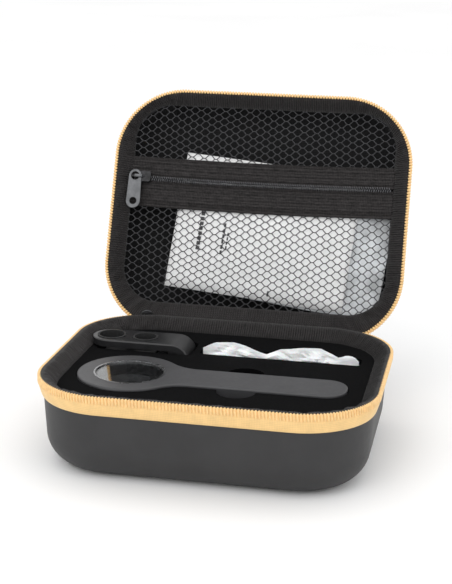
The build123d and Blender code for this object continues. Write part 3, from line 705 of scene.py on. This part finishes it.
def face_out(bm, inside):
    """Turn every face of an open strip away from a point inside the piece."""
    bm.normal_update()
    turned = sum(
        f.normal.dot(f.calc_center_median() - inside) * f.calc_area() for f in bm.faces
    )
    if turned < 0:
        bmesh.ops.reverse_faces(bm, faces=bm.faces)


# ------------------------------------------------------------------ zips round the rim
TAPE_SECTION = [
    # inset and depth in mm: up behind the teeth, then out and down over the shell's edge
    (1.7, 0.5), (1.25, 0.8), (1.1, 2.4), (1.2, 4.0), (0.95, 4.6), (1.1, 5.4), (1.5, 7.0),
    (2.1, 9.0), (2.75, 11.0), (3.4, 12.0), (4.3, 12.2),
]


def zip_tape(half, material):
    """Woven tape sewn on outside the shell's edge."""
    def section(distance, share):
        inset, depth = along_points(TAPE_SECTION, share)
        return inset * mm, depth * mm

    bm = rim_band(half, ZIP_END, RIM_LENGTH - ZIP_END, 2.2 * mm, 22, section)
    face_out(bm, RIMS[half] @ Vector((0, 0, 8 * mm)))
    tape = put(bm, f"{half}_zip_tape_cloth", material, half,
               [f"{half}_zip_tape"])
    return thicken(tape, 0.7 * mm)


def zip_teeth(half, material):
    """Coil teeth side by side along the tape's edge."""
    size = sizes()
    pattern = bmesh.new()
    bmesh.ops.create_cube(pattern, size=1.0)
    scale = (size.tooth_width, size.tooth_depth, TEETH_HEIGHT - RIM_GAP)
    bmesh.ops.scale(pattern, vec=scale, verts=pattern.verts)
    bmesh.ops.bevel(
        pattern, geom=pattern.edges[:], offset=0.5 * mm, segments=2, profile=0.5,
        affect="EDGES", material=-1,
    )
    tooth = bpy.data.meshes.new("tooth")
    pattern.to_mesh(tooth)
    pattern.free()
    bm = bmesh.new()
    length = RIM_LENGTH - 2 * ZIP_END
    count = round(length / size.tooth_pitch)
    middle = RIM_GAP + (TEETH_HEIGHT - RIM_GAP) / 2
    for i in range(count):
        distance = ZIP_END + (i + 0.5) * length / count
        point, outward = rim_point(distance, size.tooth_depth / 2 + 0.5 * mm)
        first = len(bm.verts)
        bm.from_mesh(tooth)
        bm.verts.ensure_lookup_table()
        lean = Matrix.Rotation(radians(7), 4, "Y")
        bmesh.ops.transform(
            bm, verts=bm.verts[first:],
            matrix=Matrix.Translation((point.x, point.y, middle))
            @ Matrix.Rotation(outward - pi / 2, 4, "Z") @ lean,
        )
    bpy.data.meshes.remove(tooth)
    bmesh.ops.transform(bm, matrix=RIMS[half], verts=bm.verts)
    return put(bm, f"{half}_zip_coil_teeth", material, half,
               [f"{half}_zip_teeth"])


# ------------------------------------------------------------------ bindings and hinge cloth
def inner_edge(half, outward):
    """How far in the binding ends, for a stretch of rim that faces this way.

    The net's opening has tighter corners than the rim, so round a corner this is the distance
    from the rim to that opening, along the line to the rim corner's centre.
    """
    size = sizes()
    if half == "base":
        return size.base_binding
    end = size.lid_binding_hinge if sin(outward) > 0 else size.lid_binding_front
    out = Vector((abs(cos(outward)), abs(sin(outward))))
    reach = Vector((CORNER - size.lid_binding_side, CORNER - end))
    centre = reach - Vector((size.net_corner, size.net_corner))
    along_side, along_end = reach.x / max(out.x, 1e-6), reach.y / max(out.y, 1e-6)
    if along_side * out.y <= centre.y:
        return CORNER - along_side
    if along_end * out.x <= centre.x:
        return CORNER - along_end
    ahead = out.dot(centre)
    return CORNER - ahead - (ahead**2 - centre.length_squared + size.net_corner**2) ** 0.5


BINDING_SECTION = [
    # share of the way in, share of the way down, past a small roll at the rim
    (0.00, 0.20), (0.02, 0.04), (0.10, 0.02), (0.22, 0.10), (0.40, 0.26), (0.60, 0.48),
    (0.80, 0.72), (0.93, 0.88), (1.00, 1.00), (1.01, 1.16),
]


def seam_binding(half, drop, material):
    """Ribbed binding that slopes from the rim in to the net or the foam, a little puckered."""
    size = sizes()

    def section(distance, share):
        _, outward = rim_point(distance)
        inner = inner_edge(half, outward)
        inwards, down = along_points(BINDING_SECTION, share)
        corner = abs(sin(2 * outward))
        pucker = noise.noise(Vector((distance / (6 * mm), share * 2.5, len(half))))
        small = noise.noise(Vector((distance / (2.2 * mm), share * 5, len(half))))
        rib = sin(2 * pi * distance / size.rib_pitch) * size.rib_rise
        rise = (rib + (pucker * (0.8 + 0.9 * corner) + 0.4 * small) * mm) * sin(pi * share)
        inset = 2.3 * mm + (inner - 2.3 * mm) * inwards
        return inset + rise * 0.5, max(drop * down - rise, RIM_GAP + BINDING_CLOTH)

    bm = rim_band(half, 0.0, RIM_LENGTH, size.rib_pitch / 4, 14, section)
    face_out(bm, RIMS[half] @ Vector((0, 0, 60 * mm)))
    band = put(bm, f"{half}_binding_grosgrain", material, half,
               [f"{half}_binding"])
    return thicken(band, BINDING_CLOTH)


def corner_wrap(half, material):
    """Cloth that covers the rim past the zip's ends, round both back corners."""
    size = sizes()
    section_points = [
        (5.0, 0.9), (3.4, 0.3), (1.9, 0.15), (1.0, 0.7), (0.9, 2.0), (1.3, 5.0), (2.2, 9.0),
        (3.0, 11.4), (3.6, 12.3), (4.6, 12.4),
    ]

    def section(distance, share):
        inset, depth = along_points(section_points, share)
        rib = sin(2 * pi * distance / size.rib_pitch) * size.rib_rise * sin(pi * share)
        return inset * mm - rib, depth * mm

    whole = bmesh.new()
    for start, end in ((HALF_BACK - 1 * mm, ZIP_END + 2 * mm),
                       (RIM_LENGTH - ZIP_END - 2 * mm, RIM_LENGTH - HALF_BACK + 1 * mm)):
        bm = rim_band(half, start, end, size.rib_pitch / 4, 14, section)
        face_out(bm, RIMS[half] @ Vector((0, 0, 8 * mm)))
        piece = bpy.data.meshes.new("wrap")
        bm.to_mesh(piece)
        bm.free()
        whole.from_mesh(piece)
        bpy.data.meshes.remove(piece)
    wrap = put(whole, f"{half}_corner_wrap", material, half)
    return thicken(wrap, 0.6 * mm)


HINGE_INSET = 3.9 * mm
FOLD_START = Vector((0, HALF_DEPTH - 5.0 * mm, RIM_HEIGHT))
FOLD_END = Vector((0, HALF_DEPTH + 2.0 * mm, RIM_HEIGHT))


def folded(shut):
    """Where a point of the shut hinge wall stands with the lid open, as the fold will move it."""
    low, high = 0.0, 1.0
    for _ in range(40):
        weight = (low + high) / 2
        turn = (
            Matrix.Translation(HINGE_AT) @ Matrix.Rotation(-OPEN_ANGLE * weight, 4, "X")
            @ Matrix.Translation(-HINGE_AT)
        )
        place = turn @ shut
        share = (place.y - FOLD_START.y) / (FOLD_END.y - FOLD_START.y)
        share = min(max(share, 0.0), 1.0)
        if share * share * (3 - 2 * share) > weight:
            low = weight
        else:
            high = weight
    return place


def hinge_cloth(material):
    """Ribbed cloth strip that is the hinge: sewn to both halves, it folds behind the rim."""
    size = sizes()
    width = 2 * (HALF_BACK + 1.5 * mm)
    height = 2 * ZIP_BAND + 1 * mm
    columns = round(width / (size.rib_pitch / 4))
    bm = bmesh.new()
    uv = bm.loops.layers.uv.new("UVMap")
    bmesh.ops.create_grid(bm, x_segments=columns, y_segments=44, size=0.5, calc_uvs=True)
    for face in bm.faces:
        for loop in face.loops:
            loop[uv].uv = ((loop.vert.co.x + 0.5) * width, (loop.vert.co.y + 0.5) * height)
    for vert in bm.verts:
        x, up = vert.co.x * width, vert.co.y * height
        rib = sin(2 * pi * x / size.rib_pitch) * size.rib_rise
        shut = Vector((x, HALF_DEPTH - HINGE_INSET + rib, RIM_HEIGHT + up))
        vert.co = folded(shut)
    face_out(bm, Vector((0, 60 * mm, RIM_HEIGHT)))
    cloth = put(bm, "hinge_gusset", material, None, ["hinge_fabric"])
    thicken(cloth, 0.8 * mm)
    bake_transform(cloth)
    return cloth


# ------------------------------------------------------------------ net pocket
def lid_up(distance):
    """Local y on the lid's rim plane, from a distance measured up from its hinge edge."""
    return HALF_DEPTH - distance


def net_sag(x, y, low, high):
    """How far the slack net bellies out between its sewn edges."""
    edge = min(y - low, high - y, HALF_WIDTH - 12 * mm - abs(x)) - 4 * mm
    slack = min(max(edge / (14 * mm), 0.0), 1.0)
    return slack * (
        1.0 * mm * exp(-((x - 20 * mm) ** 2) / (60 * mm) ** 2)
        + 0.6 * mm * noise.noise(Vector((x / (38 * mm), y / (30 * mm), 2.0)))
    )


def net_panel(name, low, high, node, material):
    """Hexagonal net between two distances up from the hinge, cut to the binding's curve."""
    size = sizes()
    inset = 10 * mm
    left, right = -(HALF_WIDTH - inset), HALF_WIDTH - inset
    bottom, top = lid_up(high), lid_up(low)
    bm = bmesh.new()
    half_row, knot = size.net_row / 2, 0.2 * size.net_column
    columns = int((right - left) / size.net_column) + 2
    rows = int((top - bottom) / size.net_row) + 2
    for column in range(columns):
        for row in range(rows):
            x = left + column * size.net_column
            y = bottom + (row + (column % 2) / 2) * size.net_row
            cell = bmesh.ops.create_circle(
                bm, cap_ends=True, segments=6, radius=1.0,
                matrix=Matrix.Rotation(pi / 6, 4, "Z"),
            )["verts"]
            # The knitted cells are drawn out sideways: short knots above and below.
            for vert in cell:
                tip = abs(vert.co.y) < 0.1
                reach = size.net_column - knot if tip else knot
                vert.co = Vector((
                    x + (reach if vert.co.x > 0 else -reach),
                    y if tip else y + (half_row if vert.co.y > 0 else -half_row), 0,
                ))
    bmesh.ops.remove_doubles(bm, verts=bm.verts, dist=0.25 * mm)
    cuts = [((left, 0), (-1, 0)), ((right, 0), (1, 0)), ((0, bottom), (0, -1)),
            ((0, top), (0, 1))]
    radius = size.net_corner + 5 * mm
    for side_x in (-1, 1):
        for side_y in (-1, 1):
            centre = Vector((side_x * (right - radius),
                             side_y * (HALF_DEPTH - inset - radius)))
            for step in range(1, 8):
                angle = step * pi / 16
                out = Vector((side_x * cos(angle), side_y * sin(angle)))
                cuts.append((centre + out * radius, out))
    for place, out in cuts:
        bmesh.ops.bisect_plane(
            bm, geom=bm.verts[:] + bm.edges[:] + bm.faces[:], dist=1e-7,
            plane_co=(place[0], place[1], 0), plane_no=(out[0], out[1], 0), clear_outer=True,
        )
    for vert in bm.verts:
        x, y = vert.co.x, vert.co.y
        vert.co.z = NET_DROP + 0.3 * mm - net_sag(x, y, bottom, top)
        pulled = Vector((x / (26 * mm), y / (22 * mm), 5.0))
        vert.co.x += 0.9 * mm * noise.noise(pulled)
        vert.co.y += 1.1 * mm * noise.noise(pulled + Vector((9, 4, 3)))
    bmesh.ops.wireframe(
        bm, faces=bm.faces, thickness=size.net_strand, offset=0.0, use_replace=True,
        use_boundary=True, use_even_offset=True,
    )
    bmesh.ops.transform(bm, matrix=RIMS["lid"], verts=bm.verts)
    net = put(bm, name, material, "lid", [node])
    return net


def band_sag(x):
    """The pocket's zip hangs a little lower in the middle and to the right."""
    return 1.6 * mm * cos(pi * x / (2 * HALF_WIDTH)) - 0.3 * mm * x / HALF_WIDTH


def pocket_band(name, low, high, coil_side, node, material):
    """One woven tape of the pocket's zip, with a doubled edge and a ridge beside the coil."""
    half = HALF_WIDTH - 11.6 * mm
    bm = bmesh.new()
    uv = bm.loops.layers.uv.new("UVMap")
    bmesh.ops.create_grid(bm, x_segments=120, y_segments=24, size=0.5, calc_uvs=True)
    height = high - low
    for face in bm.faces:
        for loop in face.loops:
            loop[uv].uv = (loop.vert.co.x * 2 * half, (loop.vert.co.y + 0.5) * height)
    for vert in bm.verts:
        x, share = vert.co.x * 2 * half, vert.co.y + 0.5
        up = low + share * height - band_sag(x)
        near = share if coil_side == "low" else 1 - share
        ridges = 0.35 * mm * cos(near * 2 * pi * 4) * (1 - near) ** 0.5
        hem = 0.4 * mm * exp(-(((near - 0.76) / 0.05) ** 2))
        wave = 0.35 * mm * noise.noise(Vector((x / (16 * mm), share * 2, len(name))))
        beside = 0.8 * mm * exp(-(((near - 0.9) / 0.06) ** 2))
        depth = NET_DROP - 0.9 * mm - ridges - hem - wave + beside
        vert.co = Vector((x, lid_up(up), depth))
    bmesh.ops.transform(bm, matrix=RIMS["lid"], verts=bm.verts)
    face_out(bm, RIMS["lid"] @ Vector((0, 0, 60 * mm)))
    band = put(bm, name, material, "lid", [node])
    thicken(band, 0.7 * mm)
    return band


def pocket_coil(material):
    """Two rows of small nylon turns, one on each tape, locked into each other."""
    size = sizes()
    half = HALF_WIDTH - 13.5 * mm
    bm = bmesh.new()
    count = round(2 * half / size.coil_pitch)
    for i in range(count):
        x = -half + (i + 0.5) * 2 * half / count
        for row in (-1, 1):
            bmesh.ops.create_uvsphere(
                bm, u_segments=8, v_segments=6, radius=1.0,
                matrix=Matrix.Translation(
                    (x + row * size.coil_pitch / 4,
                     lid_up(size.coil_up - band_sag(x)) + row * 0.85 * mm,
                     NET_DROP - 2.2 * mm)
                ) @ Matrix.Rotation(radians(14) * row, 4, "Z")
                @ Matrix.Diagonal((0.46 * mm, 1.15 * mm, 0.75 * mm, 1)),
            )
    bmesh.ops.transform(bm, matrix=RIMS["lid"], verts=bm.verts)
    return put(bm, "pocket_coil_turns", material, "lid",
               ["pocket_zip_coil"])


# ------------------------------------------------------------------ pulls
def pull_plate(zip_name, up, material):
    """Die-cast pull: a plate with round ends, a big hole round its pin and a smaller one."""
    joint = joint_named(f"{zip_name}_pull_swing")
    across = -Vector(joint["axis"])
    place = Matrix((across, up, across.cross(up))).transposed().to_4x4()
    place.translation = Vector(joint["pos_m"])
    top, bottom = 4.4 * mm, 4.9 * mm
    end = -(PULL_LENGTH - top - bottom)
    bm = bmesh.new()
    edges = []
    outline = [(0.0, top, k) for k in range(17)] + [(end, bottom, k) for k in range(16, 33)]
    holes = [[(0.0, 2.7 * mm, k) for k in range(32)], [(end, 2.3 * mm, k) for k in range(32)]]
    for ring in [outline] + holes:
        verts = [
            bm.verts.new((radius * cos(k * pi / 16), y + radius * sin(k * pi / 16), -0.7 * mm))
            for y, radius, k in ring
        ]
        edges += [bm.edges.new(pair) for pair in zip(verts, verts[1:] + verts[:1])]
    faces = bmesh.ops.triangle_fill(bm, edges=edges, use_beauty=True)["geom"]
    faces = [g for g in faces if isinstance(g, bmesh.types.BMFace)]
    raised = bmesh.ops.extrude_face_region(bm, geom=faces)["geom"]
    raised = [g for g in raised if isinstance(g, bmesh.types.BMVert)]
    bmesh.ops.translate(bm, verts=raised, vec=(0, 0, 1.4 * mm))
    bmesh.ops.recalc_face_normals(bm, faces=bm.faces)
    rims = [e for e in bm.edges if len(e.link_faces) == 2 and e.calc_face_angle() > 1.0]
    bmesh.ops.bevel(bm, geom=rims, offset=0.3 * mm, segments=2, profile=0.5, affect="EDGES",
                    material=-1)
    bmesh.ops.transform(bm, matrix=place, verts=bm.verts)
    put(bm, f"{zip_name}_pull_plate", material, f"{zip_name}_pull",
        [f"{zip_name}_pull_tab"], smooth=False)


def slider_bridge(material):
    """Bridge of the pocket's slider: it reaches over the pull's ring into the hole."""
    joint = joint_named("pocket_pull_swing")
    place = RIMS["lid"].copy()
    place.translation = Vector(joint["pos_m"])
    bm = bmesh.new()
    for x, z, length, height in ((2.4, -1.5, 5.6, 1.2), (0.2, -0.5, 1.3, 2.4)):
        bmesh.ops.create_cube(
            bm, size=1.0,
            matrix=Matrix.Translation((x * mm, 0, z * mm))
            @ Matrix.Diagonal((length * mm, 2.2 * mm, height * mm, 1)),
        )
    bmesh.ops.bevel(bm, geom=bm.edges[:], offset=0.4 * mm, segments=2, profile=0.5,
                    affect="EDGES", material=-1)
    bmesh.ops.transform(bm, matrix=place, verts=bm.verts)
    put(bm, "pocket_slider_bridge", material, "pocket_slider")


# ------------------------------------------------------------------ leaflet and bag
def leaflet(paper, print_colour):
    """Leaflet folded once, standing in the pocket a few degrees off square."""
    width, height, gap = 120 * mm, 91 * mm, 0.5 * mm
    bm = bmesh.new()
    steps = 24
    line = [bm.verts.new((-width / 2 + width * i / steps, -height / 2, 0)) for i in
            range(steps + 1)]
    line += [bm.verts.new((width / 2 - width * i / steps, -height / 2, gap)) for i in
             range(steps + 1)]
    edges = [bm.edges.new(pair) for pair in zip(line, line[1:])]
    for _ in range(12):
        made = bmesh.ops.extrude_edge_only(bm, edges=edges)["geom"]
        edges = [g for g in made if isinstance(g, bmesh.types.BMEdge)]
        moved = [g for g in made if isinstance(g, bmesh.types.BMVert)]
        bmesh.ops.translate(bm, verts=moved, vec=(0, height / 12, 0))
    for vert in bm.verts:
        x, y = vert.co.x / width, vert.co.y / height
        vert.co.z += 0.9 * mm * sin(pi * (x + 0.5)) * cos(pi * y * 0.9) * -1
    place = (
        RIMS["lid"] @ Matrix.Translation((4.4 * mm, lid_up(71.8 * mm), NET_DROP + 2.3 * mm))
        @ Matrix.Rotation(radians(5), 4, "Z")
    )
    bmesh.ops.transform(bm, matrix=place, verts=bm.verts)
    bmesh.ops.recalc_face_normals(bm, faces=bm.faces)
    sheet = put(bm, "leaflet_folded", paper, "lid", ["leaflet"])
    thicken(sheet, 0.12 * mm, 0.0)

    ink = bmesh.new()
    for x, y, length, thickness in (
        (-42, -24, 43, 2.4), (-26, -2, 22, 1.4), (-23, 4, 12, 1.0), (10, 38, 5, 1.1),
    ):
        pieces = round(length / 3.4)
        for i in range(pieces):
            bmesh.ops.create_grid(
                ink, x_segments=1, y_segments=1, size=0.5,
                matrix=Matrix.Translation(
                    (x * mm, (y + length * (i + 0.5) / pieces) * mm, -0.95 * mm)
                ) @ Matrix.Diagonal((thickness * mm, length / pieces * 0.72 * mm, 1, 1)),
            )
    bmesh.ops.transform(ink, matrix=place, verts=ink.verts)
    face_out(ink, RIMS["lid"] @ Vector((0, 0, 60 * mm)))
    put(ink, "leaflet_plain_bars", print_colour, "lid", smooth=False)
    return sheet


def crumpled_bag(material):
    """Clear bag round a grey wiping cloth, crumpled into the pocket's lower corner."""
    width, height = 84 * mm, 68 * mm
    bm = bmesh.new()
    bmesh.ops.create_grid(bm, x_segments=56, y_segments=42, size=0.5)
    bmesh.ops.solidify(bm, geom=bm.faces[:], thickness=0.02)
    for vert in bm.verts:
        x, y, side = vert.co.x, vert.co.y, (1 if vert.co.z > 0.005 else -1)
        rim = max(0.0, (1 - (2 * x) ** 6) * (1 - (2 * y) ** 6))
        crease = abs(noise.noise(Vector((x * 9, y * 7, side * 3.0)))) ** 0.7
        fine = abs(noise.noise(Vector((x * 22 + 5, y * 17, side * 5.0))))
        puff = side * (0.7 + 0.6 * crease + 0.35 * fine) * mm * rim
        lean = 1.2 * mm * noise.noise(Vector((x * 4, y * 3, 9.0)))
        pull = 1 - 0.03 * noise.noise(Vector((x * 3, y * 3, 1.0)))
        vert.co = Vector((x * width * pull, y * height * pull, puff + lean))
    bmesh.ops.remove_doubles(bm, verts=bm.verts, dist=0.02 * mm)
    place = (
        RIMS["lid"] @ Matrix.Translation((44 * mm, lid_up(55.5 * mm), NET_DROP + 4.6 * mm))
        @ Matrix.Rotation(radians(6), 4, "Z")
    )
    bmesh.ops.transform(bm, matrix=place, verts=bm.verts)
    bmesh.ops.recalc_face_normals(bm, faces=bm.faces)
    bag = put(bm, "bag_crumpled", material, "lid", ["cloth_bag"])
    return bag


# ------------------------------------------------------------------ pouch
def white_pouch(material):
    """White film pouch stood on edge in its slot, its top crumpled into sharp facets."""
    low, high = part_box("spare_pouch")
    length, thickness = high.x - low.x, high.y - low.y
    bm = bmesh.new()
    bmesh.ops.create_grid(bm, x_segments=46, y_segments=22, size=0.5)
    bmesh.ops.solidify(bm, geom=bm.faces[:], thickness=0.02)
    foam_top = RIM_HEIGHT - FOAM_DROP
    peaks = [(0.0, 2.4), (0.05, 4.8), (0.09, 6.6), (0.2, 7.0), (0.3, 4.6), (0.41, 0.9),
             (0.5, 4.6), (0.64, 6.9), (0.76, 7.0), (0.87, 1.8), (0.92, 3.4), (0.97, 3.0),
             (1.0, 0.6)]
    for vert in bm.verts:
        share, up, side = vert.co.x + 0.5, vert.co.y + 0.5, (1 if vert.co.z > 0.005 else -1)
        for (s0, h0), (s1, h1) in zip(peaks, peaks[1:]):
            if s0 <= share <= s1 + 1e-6:
                top = h0 + (h1 - h0) * (share - s0) / (s1 - s0)
                break
        top = foam_top + top * mm
        z = low.z + (top - low.z) * up
        rim = max(0.0, (1 - (2 * vert.co.x) ** 6) * (1 - max(0.0, 2 * vert.co.y) ** 3))
        crease = abs(noise.noise(Vector((share * 9, up * 6, side * 4.0))))
        sharp = abs(noise.noise(Vector((share * 19, up * 9 + 3, side * 2.0))))
        puff = side * thickness / 2 * (0.25 + 1.1 * crease + 0.4 * sharp) * rim
        lean = 2.2 * mm * noise.noise(Vector((share * 6, up * 1.5, 7.0)))
        vert.co = Vector((low.x + length * share,
                          (low.y + high.y) / 2 + max(-3.9 * mm, min(3.9 * mm, puff + lean)),
                          z + 0.6 * mm * (crease - 0.3) * up))
    bmesh.ops.remove_doubles(bm, verts=bm.verts, dist=0.02 * mm)
    bmesh.ops.recalc_face_normals(bm, faces=bm.faces)
    bmesh.ops.triangulate(bm, faces=bm.faces[:])
    pouch = put(bm, "pouch_crumpled", material, "pouch", ["spare_pouch"],
                smooth=False)
    return pouch


# ------------------------------------------------------------------ operators
class ZIPCASE_OT_shells(bpy.types.Operator):
    """Finish the moulded shells, their lining and the foam"""

    bl_idname = "zipcase.shells"
    bl_label = "Shells, lining and foam"

    def execute(self, context):
        paint(shell_leathercloth(), "base_shell", "lid_shell")
        paint(lining_jersey(), "base_lining", "lid_lining")
        paint(foam_cut(), "foam_floor", "foam_insert")
        return {"FINISHED"}


class ZIPCASE_OT_zips(bpy.types.Operator):
    """Make the tan zip: tapes and coil teeth on both rims"""

    bl_idname = "zipcase.zips"
    bl_label = "Zip round the rim"

    def execute(self, context):
        tape, tooth = zip_tape_cloth(), zip_tooth_nylon()
        for half in RIMS:
            zip_tape(half, tape)
            zip_teeth(half, tooth)
        return {"FINISHED"}


class ZIPCASE_OT_bindings(bpy.types.Operator):
    """Make the ribbed bindings, the corner wraps and the hinge cloth"""

    bl_idname = "zipcase.bindings"
    bl_label = "Bindings and hinge cloth"

    def execute(self, context):
        grosgrain = ribbed_grosgrain()
        seam_binding("base", FOAM_DROP, grosgrain)
        seam_binding("lid", NET_DROP, grosgrain)
        for half in RIMS:
            corner_wrap(half, grosgrain)
        hinge_cloth(grosgrain)
        return {"FINISHED"}


class ZIPCASE_OT_net_pocket(bpy.types.Operator):
    """Make the net pocket in the lid, with its zip"""

    bl_idname = "zipcase.net_pocket"
    bl_label = "Net pocket"

    def execute(self, context):
        size = sizes()
        net, webbing, coil = net_thread(), band_webbing(), coil_nylon()
        pocket_band("pocket_band_lower", size.band_low, size.coil_up - COIL_CLEAR, "high",
                    "pocket_tape_lower", webbing)
        pocket_band("pocket_band_upper", size.coil_up + COIL_CLEAR, size.band_high, "low",
                    "pocket_tape_upper", webbing)
        pocket_coil(coil)
        net_panel("pocket_net_hexagons_lower", 15 * mm, size.band_low + NET_HEM,
                  "pocket_net_lower", net)
        net_panel("pocket_net_hexagons_upper", size.band_high - NET_HEM,
                  2 * HALF_DEPTH - 8 * mm, "pocket_net_upper", net)
        return {"FINISHED"}


class ZIPCASE_OT_papers(bpy.types.Operator):
    """Put the leaflet and the bag into the pocket"""

    bl_idname = "zipcase.papers"
    bl_label = "Leaflet and bag"

    def execute(self, context):
        leaflet(leaflet_paper(), print_ink())
        crumpled_bag(bag_polythene())
        return {"FINISHED"}


class ZIPCASE_OT_sliders(bpy.types.Operator):
    """Make both zips' pulls and finish their sliders"""

    bl_idname = "zipcase.sliders"
    bl_label = "Sliders and pulls"

    def execute(self, context):
        metal = zinc_plated()
        paint(black_nickel(), "main_slider_body", "pocket_slider_body")
        pull_plate("main", Vector((0, 0, 1)), metal)
        pull_plate("pocket", -RIMS["lid"].to_3x3().col[1], metal)
        slider_bridge(metal)
        return {"FINISHED"}


class ZIPCASE_OT_magnifier(bpy.types.Operator):
    """Finish the skin magnifier"""

    bl_idname = "zipcase.magnifier"
    bl_label = "Skin magnifier"

    def execute(self, context):
        paint(housing_abs(), "top_cover", "lower_housing")
        paint(bright_aluminium(), "eyepiece_bezel")
        paint(window_glass(), "eyepiece_window", "objective_lens", "contact_plate")
        paint(barrel_anodised(), "lens_barrel", "lens_retainer", "contact_cone")
        paint(circuit_board(), "light_board", "main_board")
        paint(diode_lens(), "light_diodes", "charge_light")
        paint(polariser_film(), "polariser_ring")
        rubber = grip_rubber()
        paint(rubber, "focus_ring", "power_button", "mode_button")
        paint(nickel_steel(), "board_switches", "charging_socket", "housing_screws")
        paint(cell_wrap(), "battery")
        return {"FINISHED"}


class ZIPCASE_OT_phone_clip(bpy.types.Operator):
    """Finish the phone clip"""

    bl_idname = "zipcase.phone_clip"
    bl_label = "Phone clip"

    def execute(self, context):
        paint(clip_abs(), "clip_upper_arm")
        # The lower arm and the eyes are painted as dark rubber so that the holes in the upper arm
        # read black: partly painted shade inside the holes.
        paint(grip_rubber(), "clip_lower_arm", "clip_eye_large", "clip_eye_small",
              "clip_pad_upper", "clip_pad_lower")
        paint(nickel_steel(), "clip_pin", "clip_spring")
        return {"FINISHED"}


class ZIPCASE_OT_pouch(bpy.types.Operator):
    """Make the white pouch"""

    bl_idname = "zipcase.pouch"
    bl_label = "White pouch"

    def execute(self, context):
        white_pouch(pouch_film())
        return {"FINISHED"}


class ZIPCASE_OT_stage(bpy.types.Operator):
    """Make the floor, the lights and the camera"""

    bl_idname = "zipcase.stage"
    bl_label = "Stage"

    def execute(self, context):
        bm = bmesh.new()
        bmesh.ops.create_grid(bm, x_segments=1, y_segments=1, size=15.0)
        mesh = bpy.data.meshes.new("floor")
        bm.to_mesh(mesh)
        bm.free()
        floor = bpy.data.objects.new("floor", mesh)
        mesh.materials.append(floor_paint())
        context.collection.objects.link(floor)

        world = bpy.data.worlds.new("studio")
        world.use_nodes = True
        light = world.node_tree.nodes["Background"]
        light.inputs["Color"].default_value = (1.0, 1.0, 1.0, 1.0)
        light.inputs["Strength"].default_value = 1.05
        context.scene.world = world
        context.scene.view_settings.view_transform = "Standard"
        for name, place, size, power in (
            ("key_softbox", (-0.5, -1.1, 1.1), 0.9, 4.0),
            ("fill_softbox", (1.0, -0.9, 0.7), 0.9, 1.0),
            ("top_softbox", (0.0, 0.1, 1.5), 1.2, 2.0),
        ):
            lamp = bpy.data.lights.new(name, "AREA")
            lamp.size = size
            lamp.energy = power
            holder = bpy.data.objects.new(name, lamp)
            holder.location = place
            aim = Vector((0, 0, 0.08)) - Vector(place)
            holder.rotation_euler = aim.to_track_quat("-Z", "Y").to_euler()
            context.collection.objects.link(holder)

        yaw, pitch, roll = radians(11.22), radians(15.82), radians(-0.88)
        ahead = Vector((-sin(yaw) * cos(pitch), cos(yaw) * cos(pitch), -sin(pitch)))
        right = Vector((cos(yaw), sin(yaw), 0))
        down = ahead.cross(right)
        tilted_right = cos(roll) * right + sin(roll) * down
        tilted_down = cos(roll) * down - sin(roll) * right
        turned = Matrix((tilted_right, -tilted_down, -ahead)).transposed()
        eye = bpy.data.cameras.new("camera")
        eye.lens = 87.67
        eye.sensor_width = 36.0
        camera = bpy.data.objects.new("camera", eye)
        camera.matrix_world = Matrix.Translation((0.15905, -0.78798, 0.3222)) @ turned.to_4x4()
        context.collection.objects.link(camera)
        context.scene.camera = camera
        return {"FINISHED"}


PIECE_OPERATORS = (
    ZIPCASE_OT_shells, ZIPCASE_OT_zips, ZIPCASE_OT_bindings, ZIPCASE_OT_net_pocket,
    ZIPCASE_OT_papers, ZIPCASE_OT_sliders, ZIPCASE_OT_magnifier, ZIPCASE_OT_phone_clip,
    ZIPCASE_OT_pouch, ZIPCASE_OT_stage,
)


class ZIPCASE_PT_panel(bpy.types.Panel):
    """Zip case"""

    bl_idname = "ZIPCASE_PT_panel"
    bl_label = "Zip case"
    bl_space_type = "VIEW_3D"
    bl_region_type = "UI"
    bl_category = "Zip Case"

    def draw(self, context):
        column = self.layout.column()
        for group in (context.scene.zip_case_sizes, context.scene.zip_case_colours):
            for name in group.__annotations__:
                column.prop(group, name)
        for made in PIECE_OPERATORS:
            column.operator(made.bl_idname)


CLASSES = (ZipCaseSizes, ZipCaseColours) + PIECE_OPERATORS + (ZIPCASE_PT_panel,)


def register():
    for made in CLASSES:
        bpy.utils.register_class(made)
    bpy.types.Scene.zip_case_sizes = bpy.props.PointerProperty(type=ZipCaseSizes)
    bpy.types.Scene.zip_case_colours = bpy.props.PointerProperty(type=ZipCaseColours)


def unregister():
    del bpy.types.Scene.zip_case_colours
    del bpy.types.Scene.zip_case_sizes
    for made in reversed(CLASSES):
        bpy.utils.unregister_class(made)


def main():
    """Build everything in order."""
    register()
    bpy.ops.zipcase.shells()
    bpy.ops.zipcase.zips()
    bpy.ops.zipcase.bindings()
    bpy.ops.zipcase.net_pocket()
    bpy.ops.zipcase.papers()
    bpy.ops.zipcase.sliders()
    bpy.ops.zipcase.magnifier()
    bpy.ops.zipcase.phone_clip()
    bpy.ops.zipcase.pouch()
    bpy.ops.zipcase.stage()


if __name__ == "__main__":
    main()
